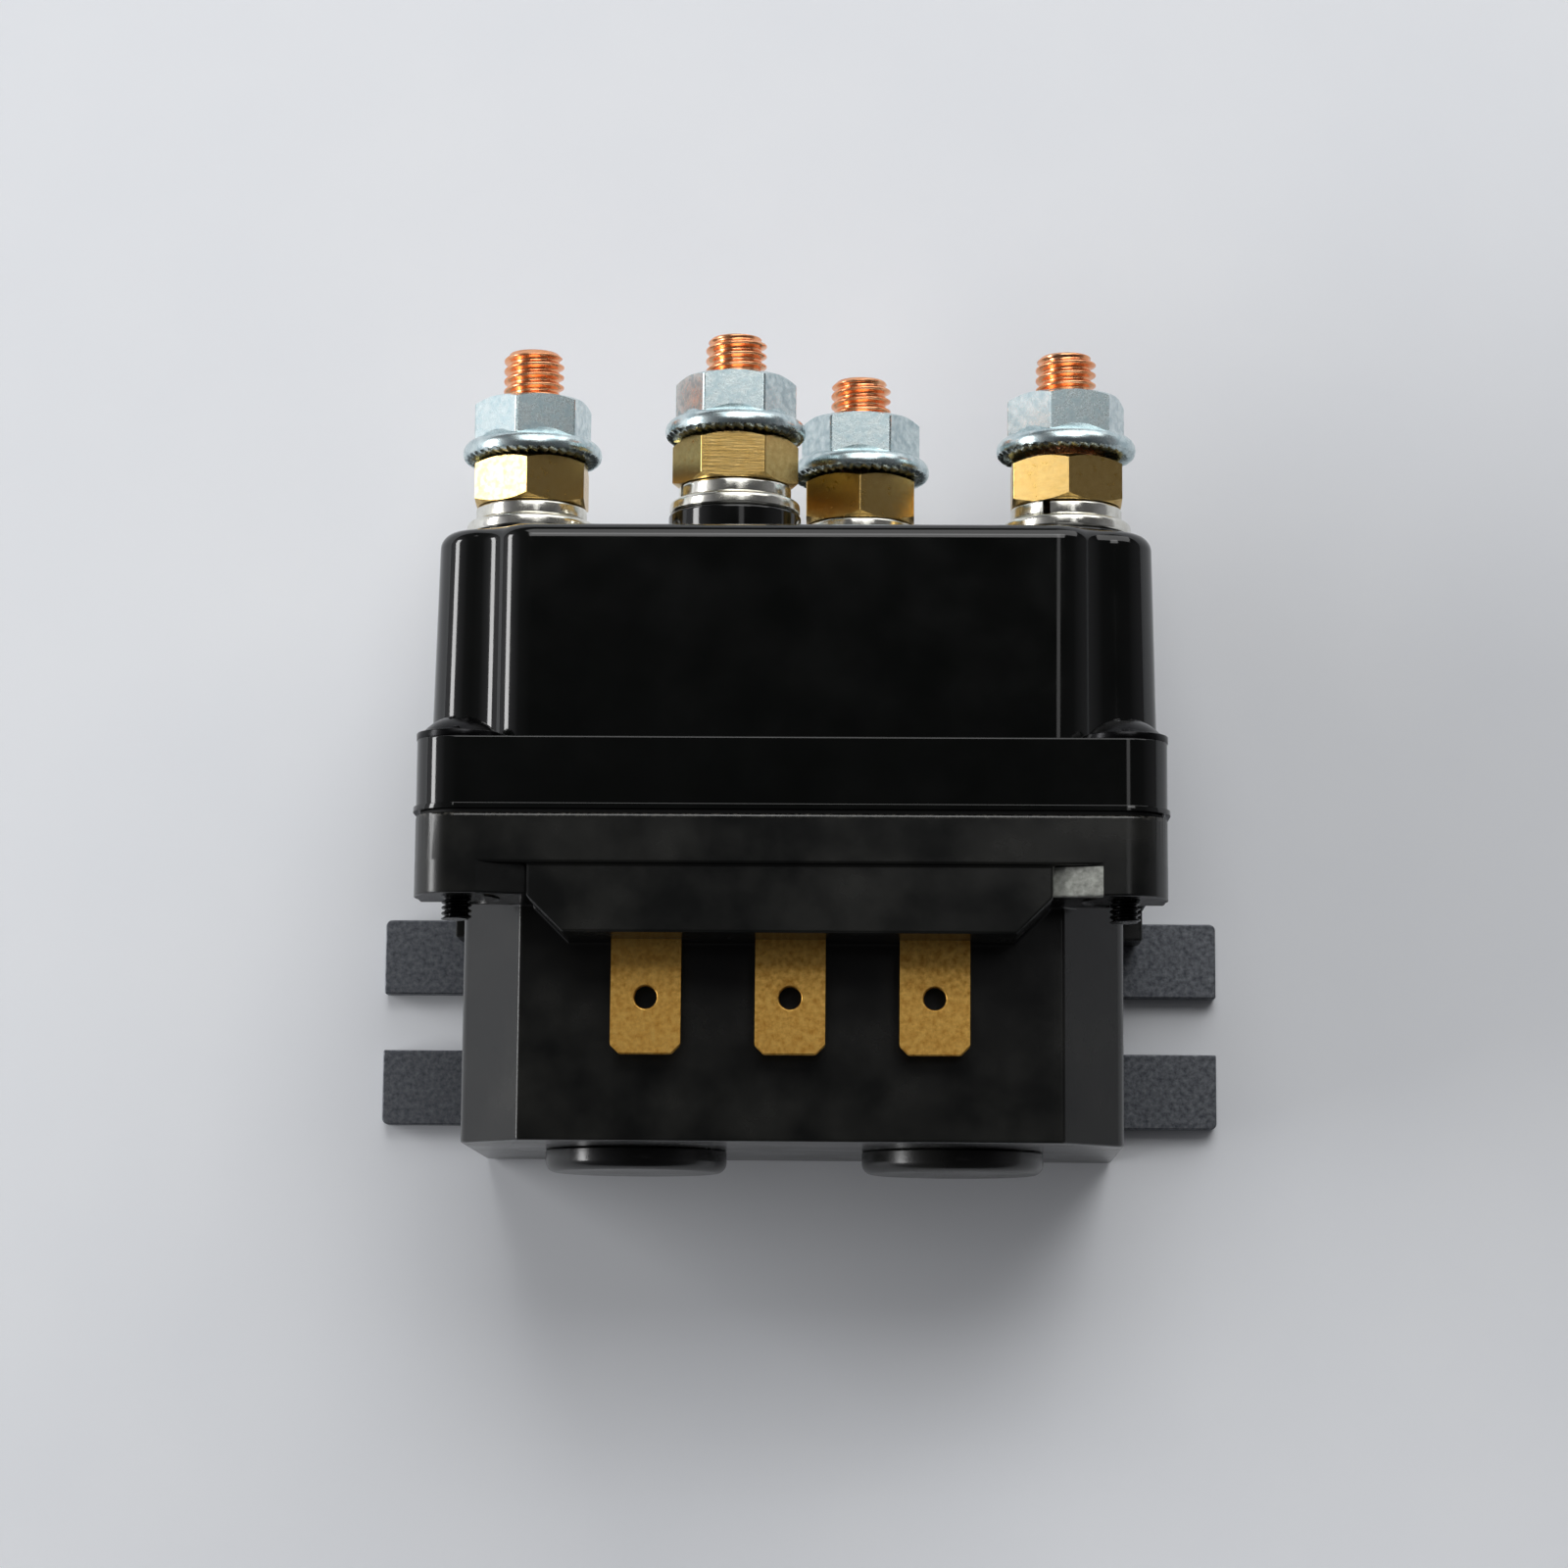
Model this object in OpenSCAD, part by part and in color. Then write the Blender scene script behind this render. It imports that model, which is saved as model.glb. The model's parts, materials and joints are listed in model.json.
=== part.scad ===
// Reversing winch relay. Two coils each lift a contact bridge and swap one outer stud between the two inner ones.
// X runs to the right along the row of studs, Y along the studs and Z out from the wall that carries the plate.
// The origin is the middle of the back face of the mounting plate.

/* [Mounting plate] */
// Width of the mounting plate over both ears
plate_w = 82.4; // [78:0.1:100]
// Height of the mounting plate
plate_h = 20.3; // [14:0.1:21]
// Thickness of the mounting plate
plate_t = 2; // [1.2:0.1:3]
// Radius of the corners of the ears
plate_corner = 0.6; // [0.2:0.1:2]
// Width of the open slot in each ear
slot_w = 5.6; // [4.3:0.1:6.6]
// Distance from the middle to the centre of each slot's round end
slot_x = 31; // [26:0.1:34]
// Distance from the middle to each of the two screws that hold the plate
plate_screw_x = 20; // [16:0.5:24]
// Diameter of the plate screws
plate_screw_d = 3; // [2:0.5:4]

/* [Coil housing] */
// Width of the coil housing
coil_w = 60.7; // [56:0.1:74]
// Height of the coil housing's front above the wall
coil_z = 36.2; // [34:0.1:42]
// How far the coil housing reaches below the middle of the plate
coil_drop = 13.4; // [12:0.1:18]
// Size of the bevel on each front corner of the coil housing
coil_bevel = 5.75; // [3:0.05:7]
// Radius where the bevel runs into the side
coil_side_r = 2.2; // [1:0.1:3]
// How much wider each side of the coil housing is at the wall than at the bevel
coil_flare = 0.6; // [0:0.1:0.8]
// Wall thickness of both mouldings
wall = 2; // [1.5:0.1:2.5]
// Diameter of the end caps
cap_d = 17.1; // [15:0.1:20]
// Thickness of the end caps below the housing
cap_t = 2.1; // [1.5:0.1:4]
// Radius of the outer edge of the end caps
cap_r = 1; // [0.3:0.1:1.2]

/* [Flanges] */
// Overhang of the flanges beyond each side of the coil housing
flange_over = 3.25; // [2.5:0.05:6]
// Height of the flanges' front above the wall
flange_z = 46; // [44:0.1:54]
// Radius of the front corners of the flanges
flange_r = 4; // [2:0.1:5]
// Underside of the base flange above the middle of the plate
flange_y = 10.55; // [10.5:0.05:16]
// Thickness of the base flange
base_flange_t = 4.45; // [3:0.05:6]
// Thickness of the cover flange
cover_flange_t = 6.5; // [4:0.1:9]
// Thickness of the gasket between the flanges
gasket_t = 0.4; // [0.3:0.1:1]
// How far the gasket's edge lies inside the flanges' edge
gasket_inset = 0.4; // [0:0.1:1]
// How far the lip round the cover flange's lower edge stands out
lip_out = 0.25; // [0.1:0.05:0.4]
// Height of that lip
lip_h = 0.8; // [0.4:0.1:1.5]
// Drop of the screw bosses below the base flange
boss_drop = 2.7; // [1:0.1:4]
// Radius of the screw bosses
boss_r = 3.8; // [3:0.1:4.2]

/* [Terminal skirt] */
// Width of the skirt that holds the spades
skirt_w = 46.6; // [44:0.1:50]
// Straight height of the skirt's sides below the base flange
skirt_side = 2.9; // [1:0.1:3]
// Height of the slanted part of the skirt's sides
skirt_slant = 3.2; // [2:0.1:4]
// How far the skirt's front lies behind the flanges' front
skirt_back = 0.5; // [0.2:0.1:2]
// How far the ramp beside the skirt falls back from boss to skirt
ramp_fall = 2.5; // [1:0.1:4]

/* [Spades] */
// Width of the spade tabs
spade_w = 6.3; // [4.8:0.1:6.3]
// Thickness of the spade tabs
spade_t = 0.8; // [0.5:0.1:1]
// Distance between neighbouring spades
spade_pitch = 12.95; // [10:0.05:14]
// How far the spades reach below the skirt
spade_free = 10.3; // [7:0.1:11]
// Middle plane of the spades in front of the coil housing
spade_out = 2.8; // [2:0.1:4]
// Bevel of the spades' lower corners
spade_bevel = 0.8; // [0.3:0.1:1.2]
// Diameter of the hole in each spade
spade_hole_d = 2; // [1.5:0.1:2.5]
// Distance of the hole from the spade's lower end
spade_hole_up = 5.1; // [4:0.1:6]

/* [Cover case] */
// How far the case's sides lie inside the flanges' sides
case_step = 0.5; // [0.3:0.05:2]
// How far the case's front and back lie inside the flanges' front and back
case_inset = 6; // [5:0.1:7]
// Height of the case above the cover flange
case_h = 20.8; // [19:0.1:26]
// Thickness of the case's top
case_top_t = 2.4; // [2:0.1:3]
// Radius of the case's outer edges
case_r = 1.5; // [0.5:0.1:2]
// Radius of the hollow round each screw head
notch_r = 4.3; // [4:0.1:4.6]
// Radius where a hollow runs into the case's faces
notch_lip_r = 4.2; // [0.5:0.1:4.5]
// Diameter of the collars under the stud washers
collar_d = 12.5; // [12:0.1:13]

/* [Cover screws] */
// Distance of each screw from the flanges' side
screw_side = 3.8; // [3.8:0.1:4.4]
// Distance of each screw from the flanges' front or back
screw_inset = 4.3; // [4:0.1:4.6]
// Diameter of the screws' thread
screw_d = 2.6; // [2:0.1:3]
// Length of the screws under the head
screw_len = 16; // [15:0.1:18]
// Diameter of the screws' washer rim
screw_rim_d = 7.8; // [6:0.1:8]
// Thickness of the screws' washer rim
screw_rim_t = 0.7; // [0.4:0.1:1]
// Diameter of the screws' dome
screw_dome_d = 6.8; // [5:0.1:7]
// Height of the screws' dome above the rim
screw_dome_h = 1.7; // [1:0.1:2.4]

/* [Studs] */
// Distance from the middle to the outer studs
stud_x = 25.6; // [24.8:0.1:26]
// Height of the outer studs' axis above the wall
stud_z = 21.5; // [20:0.1:24]
// Distance from the middle to the two inner studs
mid_x = 5.9; // [5.6:0.1:6.6]
// How far one inner stud stands forward and the other back of the outer ones
mid_dz = 4.8; // [4.4:0.1:5.2]
// Major diameter of the studs' thread
stud_d = 5.8; // [4.8:0.1:5.9]
// How much thinner in radius the studs are inside the nuts
stud_waist = 0.35; // [0.2:0.05:0.5]
// Clearance in radius between the thinner part of a stud and its nuts
nut_gap = 0.05; // [0.02:0.01:0.1]
// Outer diameter of the flat washers
washer_d = 12.3; // [10:0.1:12.4]
// Thickness of the flat washers
washer_t = 1.3; // [0.8:0.1:1.6]
// Outer diameter of the spring washers
spring_washer_d = 10.6; // [9:0.1:12]
// Inner diameter of the spring washers
spring_washer_hole = 6.2; // [6:0.1:6.6]
// Thickness of the spring washers
spring_washer_t = 1.5; // [1:0.1:1.8]
// Size over the flats of the brass nuts
brass_af = 10.4; // [10:0.1:11]
// Height of the brass nuts
brass_h = 4.3; // [3:0.1:5]
// Size over the flats of the flange nuts
flange_nut_af = 10; // [9.5:0.1:10.5]
// Height of the flange nuts
flange_nut_h = 5.9; // [5:0.1:6.5]
// Diameter of the flange on the flange nuts
flange_nut_d = 13.3; // [12.5:0.1:14]
// Thickness of that flange, which has a round edge
flange_nut_rim = 2; // [1.4:0.1:2.4]

/* [Coils] */
// Diameter of the plungers and fixed cores
plunger_d = 9.6; // [8:0.1:10]
// Travel of the plungers
travel = 2.5; // [2:0.1:2.6]
// Thickness of the yokes and pole plates
iron_t = 1.4; // [1:0.1:1.6]
// Depth of the yokes along Z
yoke_depth = 18; // [14:0.5:20]
// Thickness of the bobbins' end flanges
bobbin_flange_t = 1.2; // [0.8:0.1:1.6]
// Wall of the bobbins' tubes
bobbin_wall = 0.9; // [0.6:0.1:1.2]
// Diameter of the push rods
rod_d = 3; // [2.5:0.1:3.2]
// Diameter of the wire of both kinds of springs
spring_wire = 0.8; // [0.5:0.05:0.9]
// Number of turns of both kinds of springs
spring_turns = 5; // [4:1:7]

/* [Contacts] */
// Thickness of the insulating deck under the contacts
deck_t = 1.4; // [1:0.1:2]
// Thickness of the contact plates and buses
copper_t = 1.5; // [1:0.1:1.6]
// Half length of the contact bridges
bridge_half = 8.5; // [8:0.1:9]
// Width of the contact bridges along Z
bridge_w = 7; // [5:0.1:8]
// Thickness of the contact bridges
bridge_t = 2; // [1.5:0.1:2.2]
// Distance of the contact pads from the rod's axis
pad_x = 5.9; // [5.6:0.1:6]
// Diameter of the contact pads
pad_d = 4; // [3:0.1:4.2]
// Height of the lower contact pads
pad_h = 1; // [0.6:0.1:1.2]
// Over-travel of the plungers after the bridges touch the upper contacts
wipe = 0.5; // [0.3:0.05:0.7]

/* [Hidden] */
$fn = 64;
eps = 0.05;

// Clearances
slip = 0.05;
loose = 0.2;

// Outer sizes
flange_w = coil_w + 2 * flange_over;
mid_z = flange_z / 2;
base_top = flange_y + base_flange_t;
cover_y = base_top + gasket_t;
case_y = cover_y + cover_flange_t;
top_y = case_y + case_h;
case_w = flange_w - 2 * case_step;
case_front = flange_z - case_inset;
screw_x = flange_w / 2 - screw_side;
screw_zs = [screw_inset, flange_z - screw_inset];
skirt_bottom = flange_y - skirt_side - skirt_slant;
skirt_z = flange_z - skirt_back;
spade_z = coil_z + spade_out;
spade_bottom = skirt_bottom - spade_free;
spade_top = flange_y - 0.4;
notch_wall = wall + 1;

// The space inside the coil housing is split by a rib, and each half holds one yoke
rib_w = 3;
plate_boss_h = wall + 2.2;
inner_x = coil_w / 2 - wall;
inner_z = [plate_t + wall, coil_z - wall];
floor_y = wall - coil_drop;
coil_x = (rib_w / 2 + inner_x) / 2;
coil_axis_z = (plate_t + coil_z) / 2 - 0.9;
yoke_w = inner_x - rib_w / 2 - 2 * loose;
deck_y = base_top - deck_t;
pole_y = deck_y - iron_t;
bobbin_y = floor_y + iron_t;
// The bobbins fill the smaller of two rooms: between the yoke's legs, or in front of the plate screws' bosses
bobbin_d = min(yoke_w - 2 * iron_t - 2 * loose, 2 * (coil_axis_z - plate_t - plate_boss_h) - 3 * loose);
bobbin_hole = plunger_d + 0.6;
tube_d = bobbin_hole + 2 * bobbin_wall;
winding_d = bobbin_d - 1;
spigot_d = 14.4;
plunger_y = floor_y + 0.3;
plunger_h = 12.6;
core_y = plunger_y + plunger_h + travel + 0.1;
pocket_d = 6.4;
pocket_y = pole_y - 2.2;
rod_in = 3.5;

// Heights of the contacts
lower_y = base_top + 4.5;
bridge_y = lower_y + copper_t + pad_h;
bridge_lift = travel - wipe;
upper_pad_y = bridge_y + bridge_t + bridge_lift + 0.05;
upper_y = upper_pad_y + pad_h - 0.05;
tab_y = upper_y + copper_t + 2;
arm_gap = 3.4;
arm_z = [coil_axis_z - 4.5, coil_axis_z + 8.3];
arm_end = coil_x + arm_gap;
riser_x = stud_x + 1.9;
bus_end = coil_x - arm_gap;
collar_y = base_top + 1;
collar_t = 1;
rod_collar_d = 6.4;
clip_d = 5;
clip_t = 1;
rod_top = bridge_y + bridge_t + clip_t + 0.8;
rivet_d = 4;
shoulder_d = 9.4;
shoulder_h = 3;

// Each stud: name, X, Z, collar height, turn of the brass nut, gap to the flange nut, turn of it, free end
STUDS = [
    ["left", -stud_x, stud_z, 2.2, 30, 0.1, 18.7, 4.9],
    ["mid_left", -mid_x, stud_z + mid_dz, 3.3, 0, 0.1, 0, 4.1],
    ["mid_right", mid_x, stud_z - mid_dz, 1.6, 30, 0.15, 0, 4],
    ["right", stud_x, stud_z, 2.3, 30, 0.5, 12.6, 4.2]
];
function stud_base(s) = s[0] == "mid_right" ? tab_y : upper_y;
function washer_y(s) = top_y + s[3];
function spring_washer_y(s) = washer_y(s) + washer_t;
function brass_y(s) = spring_washer_y(s) + spring_washer_t;
function flange_nut_y(s) = brass_y(s) + brass_h + s[5];
function stud_top(s) = flange_nut_y(s) + flange_nut_h + s[7];

SIDES = [["left", -1], ["right", 1]];
SPADES = [["left", -1], ["middle", 0], ["right", 1]];

// Plan outlines, drawn as X and Z, stand upright between two heights
module upright(y0, y1) {
    translate([0, y1, 0]) rotate([90, 0, 0]) linear_extrude(y1 - y0) children();
}

// Round parts about an upright axis, drawn lying along their own Z
module on_axis(x, y, z, turn = 0) {
    translate([x, y, z]) rotate([-90, 0, 0]) rotate(turn) children();
}

module peg(x, z, y0, y1, d) {
    on_axis(x, y0, z) cylinder(d = d, h = y1 - y0);
}

function unit(v) = v / norm(v);
function bends_out(a, b, c) = (b[0] - a[0]) * (c[1] - b[1]) > (b[1] - a[1]) * (c[0] - b[0]);

// The scrap between the corner b of an outline and a round of radius r that touches both of its edges
module corner_scrap(a, b, c, r) {
    u = unit(a - b);
    v = unit(c - b);
    half = acos(u * v) / 2;
    centre = b + unit(u + v) * r / sin(half);
    touch = r / tan(half);
    difference() {
        polygon([
            centre,
            centre + (b + u * touch - centre) * 1.2,
            b + (b - centre) * 0.2,
            centre + (b + v * touch - centre) * 1.2
        ]);
        translate(centre) circle(r = r);
    }
}

// An outline that runs anticlockwise, with its own radius at each corner and 0 for a sharp one
module rounded(points, radii) {
    n = len(points);
    difference() {
        union() {
            polygon(points);
            for (i = [0 : n - 1])
                if (radii[i] > 0 && !bends_out(points[(i + n - 1) % n], points[i], points[(i + 1) % n]))
                    corner_scrap(points[(i + n - 1) % n], points[i], points[(i + 1) % n], radii[i]);
        }
        for (i = [0 : n - 1])
            if (radii[i] > 0 && bends_out(points[(i + n - 1) % n], points[i], points[(i + 1) % n]))
                corner_scrap(points[(i + n - 1) % n], points[i], points[(i + 1) % n], radii[i]);
    }
}

module rounded_box(x0, x1, z0, z1, r) {
    rounded([[x0, z0], [x1, z0], [x1, z1], [x0, z1]], [r, r, r, r]);
}

module both_sides() {
    children();
    mirror([1, 0, 0]) children();
}

module at_screws() {
    for (x = [-screw_x, screw_x], z = screw_zs) translate([x, z]) children();
}

// Flange outline: the back stays flush with the wall, so an offset only moves the sides and the front
module flange_plan(grow = 0) {
    r = flange_r + grow;
    back_r = flange_r + min(grow, 0);
    rounded(
        [
            [-flange_w / 2 - grow, max(0, -grow)],
            [flange_w / 2 + grow, max(0, -grow)],
            [flange_w / 2 + grow, flange_z + grow],
            [-flange_w / 2 - grow, flange_z + grow]
        ],
        [back_r, back_r, r, r]
    );
}

// Scraps that round the case's four top edges
module case_edge_scraps() {
    x = case_w / 2;
    linear_extrude(flange_z) both_sides() corner_scrap([x, case_y], [x, top_y], [0, top_y], case_r);
    for (z = [case_inset, case_front])
        translate([-case_w, 0, 0]) rotate([90, 0, 90]) linear_extrude(2 * case_w)
            corner_scrap([case_y, z], [top_y, z], [top_y, mid_z], case_r);
}

module front_and_back() {
    children();
    translate([0, flange_z]) mirror([0, 1]) children();
}

// Scrap that rounds the edge where the hollow about a screw meets a face of the case. The screw is at 0, 0, the
// face lies at height e and the edge on the positive side. The round is a hair larger than one that only
// touches, so that it crosses both faces cleanly.
module notch_lip(e) {
    r = notch_lip_r;
    centre = [sqrt(pow(notch_r + r, 2) - pow(e - r, 2)), e - r];
    edge = [sqrt(notch_r * notch_r - e * e), e];
    difference() {
        polygon([
            centre,
            [centre[0], e + 0.3],
            edge + [-0.6, 0.5],
            centre - unit(centre) * (r + 0.3)
        ]);
        translate(centre) circle(r = 1.01 * r);
    }
}

module case_plan() {
    difference() {
        translate([-case_w / 2, case_inset]) square([case_w, case_front - case_inset]);
        at_screws() circle(r = notch_r);
        front_and_back() both_sides() translate([screw_x, screw_zs[1]]) {
            mirror([1, 0]) notch_lip(case_front - screw_zs[1]);
            rotate(-90) notch_lip(case_w / 2 - screw_x);
        }
    }
}

module cover_space_plan() {
    side = case_w / 2 - wall;
    difference() {
        rounded_box(-side, side, case_inset + wall, case_front - wall, 1);
        at_screws() circle(r = notch_r + notch_wall);
    }
}

module top_cover() {
    color("#17181a") difference() {
        union() {
            upright(cover_y, case_y) flange_plan();
            upright(cover_y, cover_y + lip_h) flange_plan(lip_out);
            difference() {
                upright(case_y - eps, top_y) case_plan();
                case_edge_scraps();
            }
            for (s = STUDS) peg(s[1], s[2], top_y - eps, washer_y(s), collar_d);
        }
        upright(cover_y - 1, top_y - case_top_t) cover_space_plan();
        for (s = STUDS) peg(s[1], s[2], top_y - case_top_t - 1, washer_y(s) + 1, stud_d + 0.5);
        upright(cover_y - 1, case_y + 1) at_screws() circle(d = screw_d + 0.7);
    }
}

module coil_plan() {
    x = coil_w / 2;
    back_x = x + coil_flare;
    b = coil_bevel;
    rounded(
        [[-back_x, 0], [back_x, 0], [x, coil_z - b], [x - b, coil_z], [b - x, coil_z], [-x, coil_z - b]],
        [0.8, 0.8, coil_side_r, 0.5, 0.5, coil_side_r]
    );
}

// Seat of the insulating deck over both halves
module deck_plan(gap) {
    x = inner_x - gap;
    difference() {
        rounded_box(-x, x, inner_z[0] + gap, inner_z[1] - coil_bevel + 0.6 * wall - gap, 0.5);
        both_sides() rear_corner(gap);
    }
}

// The rear screws end in solid corners of the housing
module rear_corner(gap) {
    translate([screw_x, screw_inset]) circle(d = screw_d + 2 * wall + 2 * gap);
}

// Half of the space inside the coil housing
module coil_space_plan() {
    x = inner_x;
    b = coil_bevel - 0.6 * wall;
    difference() {
        rounded(
            [[rib_w / 2, inner_z[0]], [x, inner_z[0]], [x, inner_z[1] - b], [x - b, inner_z[1]],
                [rib_w / 2, inner_z[1]]],
            [0.5, 0, 1, 1, 0.5]
        );
        rear_corner(0);
    }
}

module skirt_front_view() {
    x = skirt_w / 2;
    side_y = skirt_bottom + skirt_slant;
    polygon([
        [-x, base_top - 1],
        [-x, side_y],
        [skirt_slant - x, skirt_bottom],
        [x - skirt_slant, skirt_bottom],
        [x, side_y],
        [x, base_top - 1]
    ]);
}

module ramp_plan() {
    foot_x = skirt_w / 2 - 0.5;
    polygon([
        [foot_x, coil_z - 1],
        [screw_x, coil_z - 1],
        [screw_x, skirt_z],
        [foot_x, skirt_z - ramp_fall]
    ]);
}

module bosses() {
    low = flange_y - boss_drop;
    intersection() {
        upright(low, base_top - 1) flange_plan();
        union() {
            upright(low, base_top - 1) at_screws() circle(r = boss_r);
            upright(low, base_top - 1) both_sides()
                for (z = screw_zs) translate([screw_x, z - boss_r]) square([boss_r, 2 * boss_r]);
        }
    }
}

// The middle spade's foot reaches past the rib to both windings
function spade_foot(s) = s[1] == 0 ? coil_axis_z + yoke_depth / 2 + 0.6 : inner_z[1] - 1.2;

module spade(s) {
    x = s[1] * spade_pitch;
    h = spade_top - spade_bottom;
    scrap = spade_bevel * sqrt(2);
    color("#b08d57") difference() {
        union() {
            translate([x - spade_w / 2, spade_bottom, spade_z - spade_t / 2]) cube([spade_w, h, spade_t]);
            translate([x - spade_w / 2, spade_top - spade_t, spade_foot(s)])
                cube([spade_w, spade_t, spade_z - spade_foot(s)]);
        }
        for (side = [-1, 1])
            translate([x + side * spade_w / 2, spade_bottom, spade_z]) rotate(45)
                cube([scrap, scrap, 2 * spade_t], center = true);
        translate([x, spade_bottom + spade_hole_up, spade_z - spade_t])
            cylinder(d = spade_hole_d, h = 2 * spade_t);
    }
}

module base_housing() {
    color("#232426") difference() {
        union() {
            upright(-coil_drop, base_top - 1) coil_plan();
            upright(flange_y, base_top) flange_plan();
            bosses();
            translate([0, 0, coil_z - 1]) linear_extrude(skirt_z - coil_z + 1) skirt_front_view();
            upright(flange_y - boss_drop + 0.1, base_top - 1) both_sides() ramp_plan();
        }
        difference() {
            upright(floor_y, base_top + 1) both_sides() coil_space_plan();
            for (s = [-1, 1])
                translate([s * plate_screw_x, 0, plate_t]) cylinder(d = plate_screw_d + 3, h = plate_boss_h);
        }
        upright(deck_y, base_top + 1) deck_plan(0);
        both_sides() peg(coil_x, coil_axis_z, -coil_drop - 1, floor_y + 1, spigot_d + 2 * slip);
        translate([-coil_w, -plate_h / 2 - slip, -1]) cube([2 * coil_w, plate_h + 2 * slip, plate_t + 1]);
        for (s = [-1, 1])
            translate([s * plate_screw_x, 0, 0]) cylinder(d = plate_screw_d + 2 * slip, h = plate_t + wall + 1.8);
        upright(case_y - screw_len - 0.5, base_top + 1) at_screws() circle(d = screw_d + 2 * slip);
        for (s = SPADES) spade_slot(s);
    }
}

module spade_slot(s) {
    x = s[1] * spade_pitch;
    translate([x - spade_w / 2 - slip, skirt_bottom - 1, spade_z - spade_t / 2 - slip])
        cube([spade_w + 2 * slip, spade_top - skirt_bottom + 1 + slip, spade_t + 2 * slip]);
    translate([x - spade_w / 2 - slip, spade_top - spade_t - slip, spade_foot(s) - slip])
        cube([spade_w + 2 * slip, spade_t + 2 * slip, spade_z - spade_foot(s)]);
}

module gasket() {
    color("#3a3b3c") difference() {
        upright(base_top, cover_y) flange_plan(-gasket_inset);
        upright(base_top - 1, cover_y + 1) intersection() {
            cover_space_plan();
            square([2 * inner_x, 2 * flange_z], center = true);
        }
        upright(base_top - 1, cover_y + 1) at_screws() circle(d = screw_d + 0.7);
    }
}

module mounting_plate() {
    x = plate_w / 2;
    y = plate_h / 2;
    color("#6b6d70") difference() {
        linear_extrude(plate_t) rounded([[-x, -y], [x, -y], [x, y], [-x, y]],
            [plate_corner, plate_corner, plate_corner, plate_corner]);
        both_sides() {
            translate([slot_x, 0, -1]) cylinder(d = slot_w, h = plate_t + 2);
            translate([slot_x, -slot_w / 2, -1]) cube([plate_w, slot_w, plate_t + 2]);
            translate([plate_screw_x, 0, -1]) cylinder(d = plate_screw_d + 0.4, h = plate_t + 2);
            translate([plate_screw_x, 0, -1]) cylinder(d1 = 2 * plate_screw_d + 2.3, d2 = plate_screw_d + 0.3,
                h = plate_screw_d / 2 + 1);
        }
    }
}

module plate_screws() {
    head_h = plate_screw_d / 2 - 0.1;
    color("#8d9094") both_sides() translate([plate_screw_x, 0, 0.1]) difference() {
        union() {
            cylinder(d1 = 2 * plate_screw_d - 0.2, d2 = plate_screw_d, h = head_h);
            cylinder(d = plate_screw_d, h = plate_t + wall + 1.6);
        }
        for (a = [0, 90]) rotate(a) cube([plate_screw_d, 0.6, 1.6], center = true);
    }
}

module cover_screws() {
    dome_r = (pow(screw_dome_d / 2, 2) + pow(screw_dome_h, 2)) / (2 * screw_dome_h);
    rim_y = case_y + screw_rim_t;
    color("#202124") for (x = [-screw_x, screw_x], z = screw_zs) difference() {
        union() {
            peg(x, z, case_y - screw_len, rim_y, screw_d);
            peg(x, z, case_y, rim_y, screw_rim_d);
            intersection() {
                translate([x, rim_y + screw_dome_h - dome_r, z]) sphere(r = dome_r);
                peg(x, z, rim_y - 0.2, rim_y + 2 * screw_dome_h, screw_dome_d);
            }
        }
        for (a = [0, 90]) on_axis(x, rim_y + 0.3, z, a)
            translate([-1.9, -0.4, 0]) cube([3.8, 0.8, screw_dome_h]);
    }
}

module end_cap(s) {
    color("#1e1f21") on_axis(s[1] * coil_x, -coil_drop, coil_axis_z) rotate_extrude() rounded(
        [
            [0, -cap_t],
            [cap_d / 2, -cap_t],
            [cap_d / 2, 0],
            [spigot_d / 2, 0],
            [spigot_d / 2, wall],
            [0, wall]
        ],
        [0, cap_r, 0.2, 0, 0.3, 0]
    );
}

// Studs and what is stacked on them, each turned from its half section
module stud(s) {
    r = stud_d / 2;
    waist = r - stud_waist;
    low = stud_base(s);
    inner_top = top_y - case_top_t;
    tip = stud_top(s);
    nut_top = flange_nut_y(s) + flange_nut_h;
    color("#b4643c") on_axis(s[1], 0, s[2]) rotate_extrude() polygon([
        [0, low],
        [rivet_d / 2 - slip, low],
        [rivet_d / 2 - slip, low + copper_t],
        [r, low + copper_t],
        [r, inner_top - shoulder_h],
        [shoulder_d / 2, inner_top - shoulder_h],
        [shoulder_d / 2, inner_top],
        [r, inner_top],
        [r, brass_y(s)],
        [waist, brass_y(s)],
        [waist, nut_top],
        [r, nut_top],
        [r, tip - 0.5],
        [r - 0.5, tip],
        [0, tip]
    ]);
}

module flat_washer(s) {
    color("#b9b29a") on_axis(s[1], washer_y(s), s[2]) rotate_extrude() rounded(
        [[stud_d / 2 + loose, 0], [washer_d / 2, 0], [washer_d / 2, washer_t], [stud_d / 2 + loose, washer_t]],
        [0, 0.3, 0.3, 0]
    );
}

module spring_washer(s) {
    split = 10;
    color("#a9a493") on_axis(s[1], spring_washer_y(s), s[2]) rotate(s[0] == "right" ? -114 : 95)
        rotate_extrude(angle = 360 - split) rounded(
            [
                [spring_washer_hole / 2, 0],
                [spring_washer_d / 2, 0],
                [spring_washer_d / 2, spring_washer_t],
                [spring_washer_hole / 2, spring_washer_t]
            ],
            [0.2, 0.2, 0.2, 0.2]
        );
}

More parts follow.
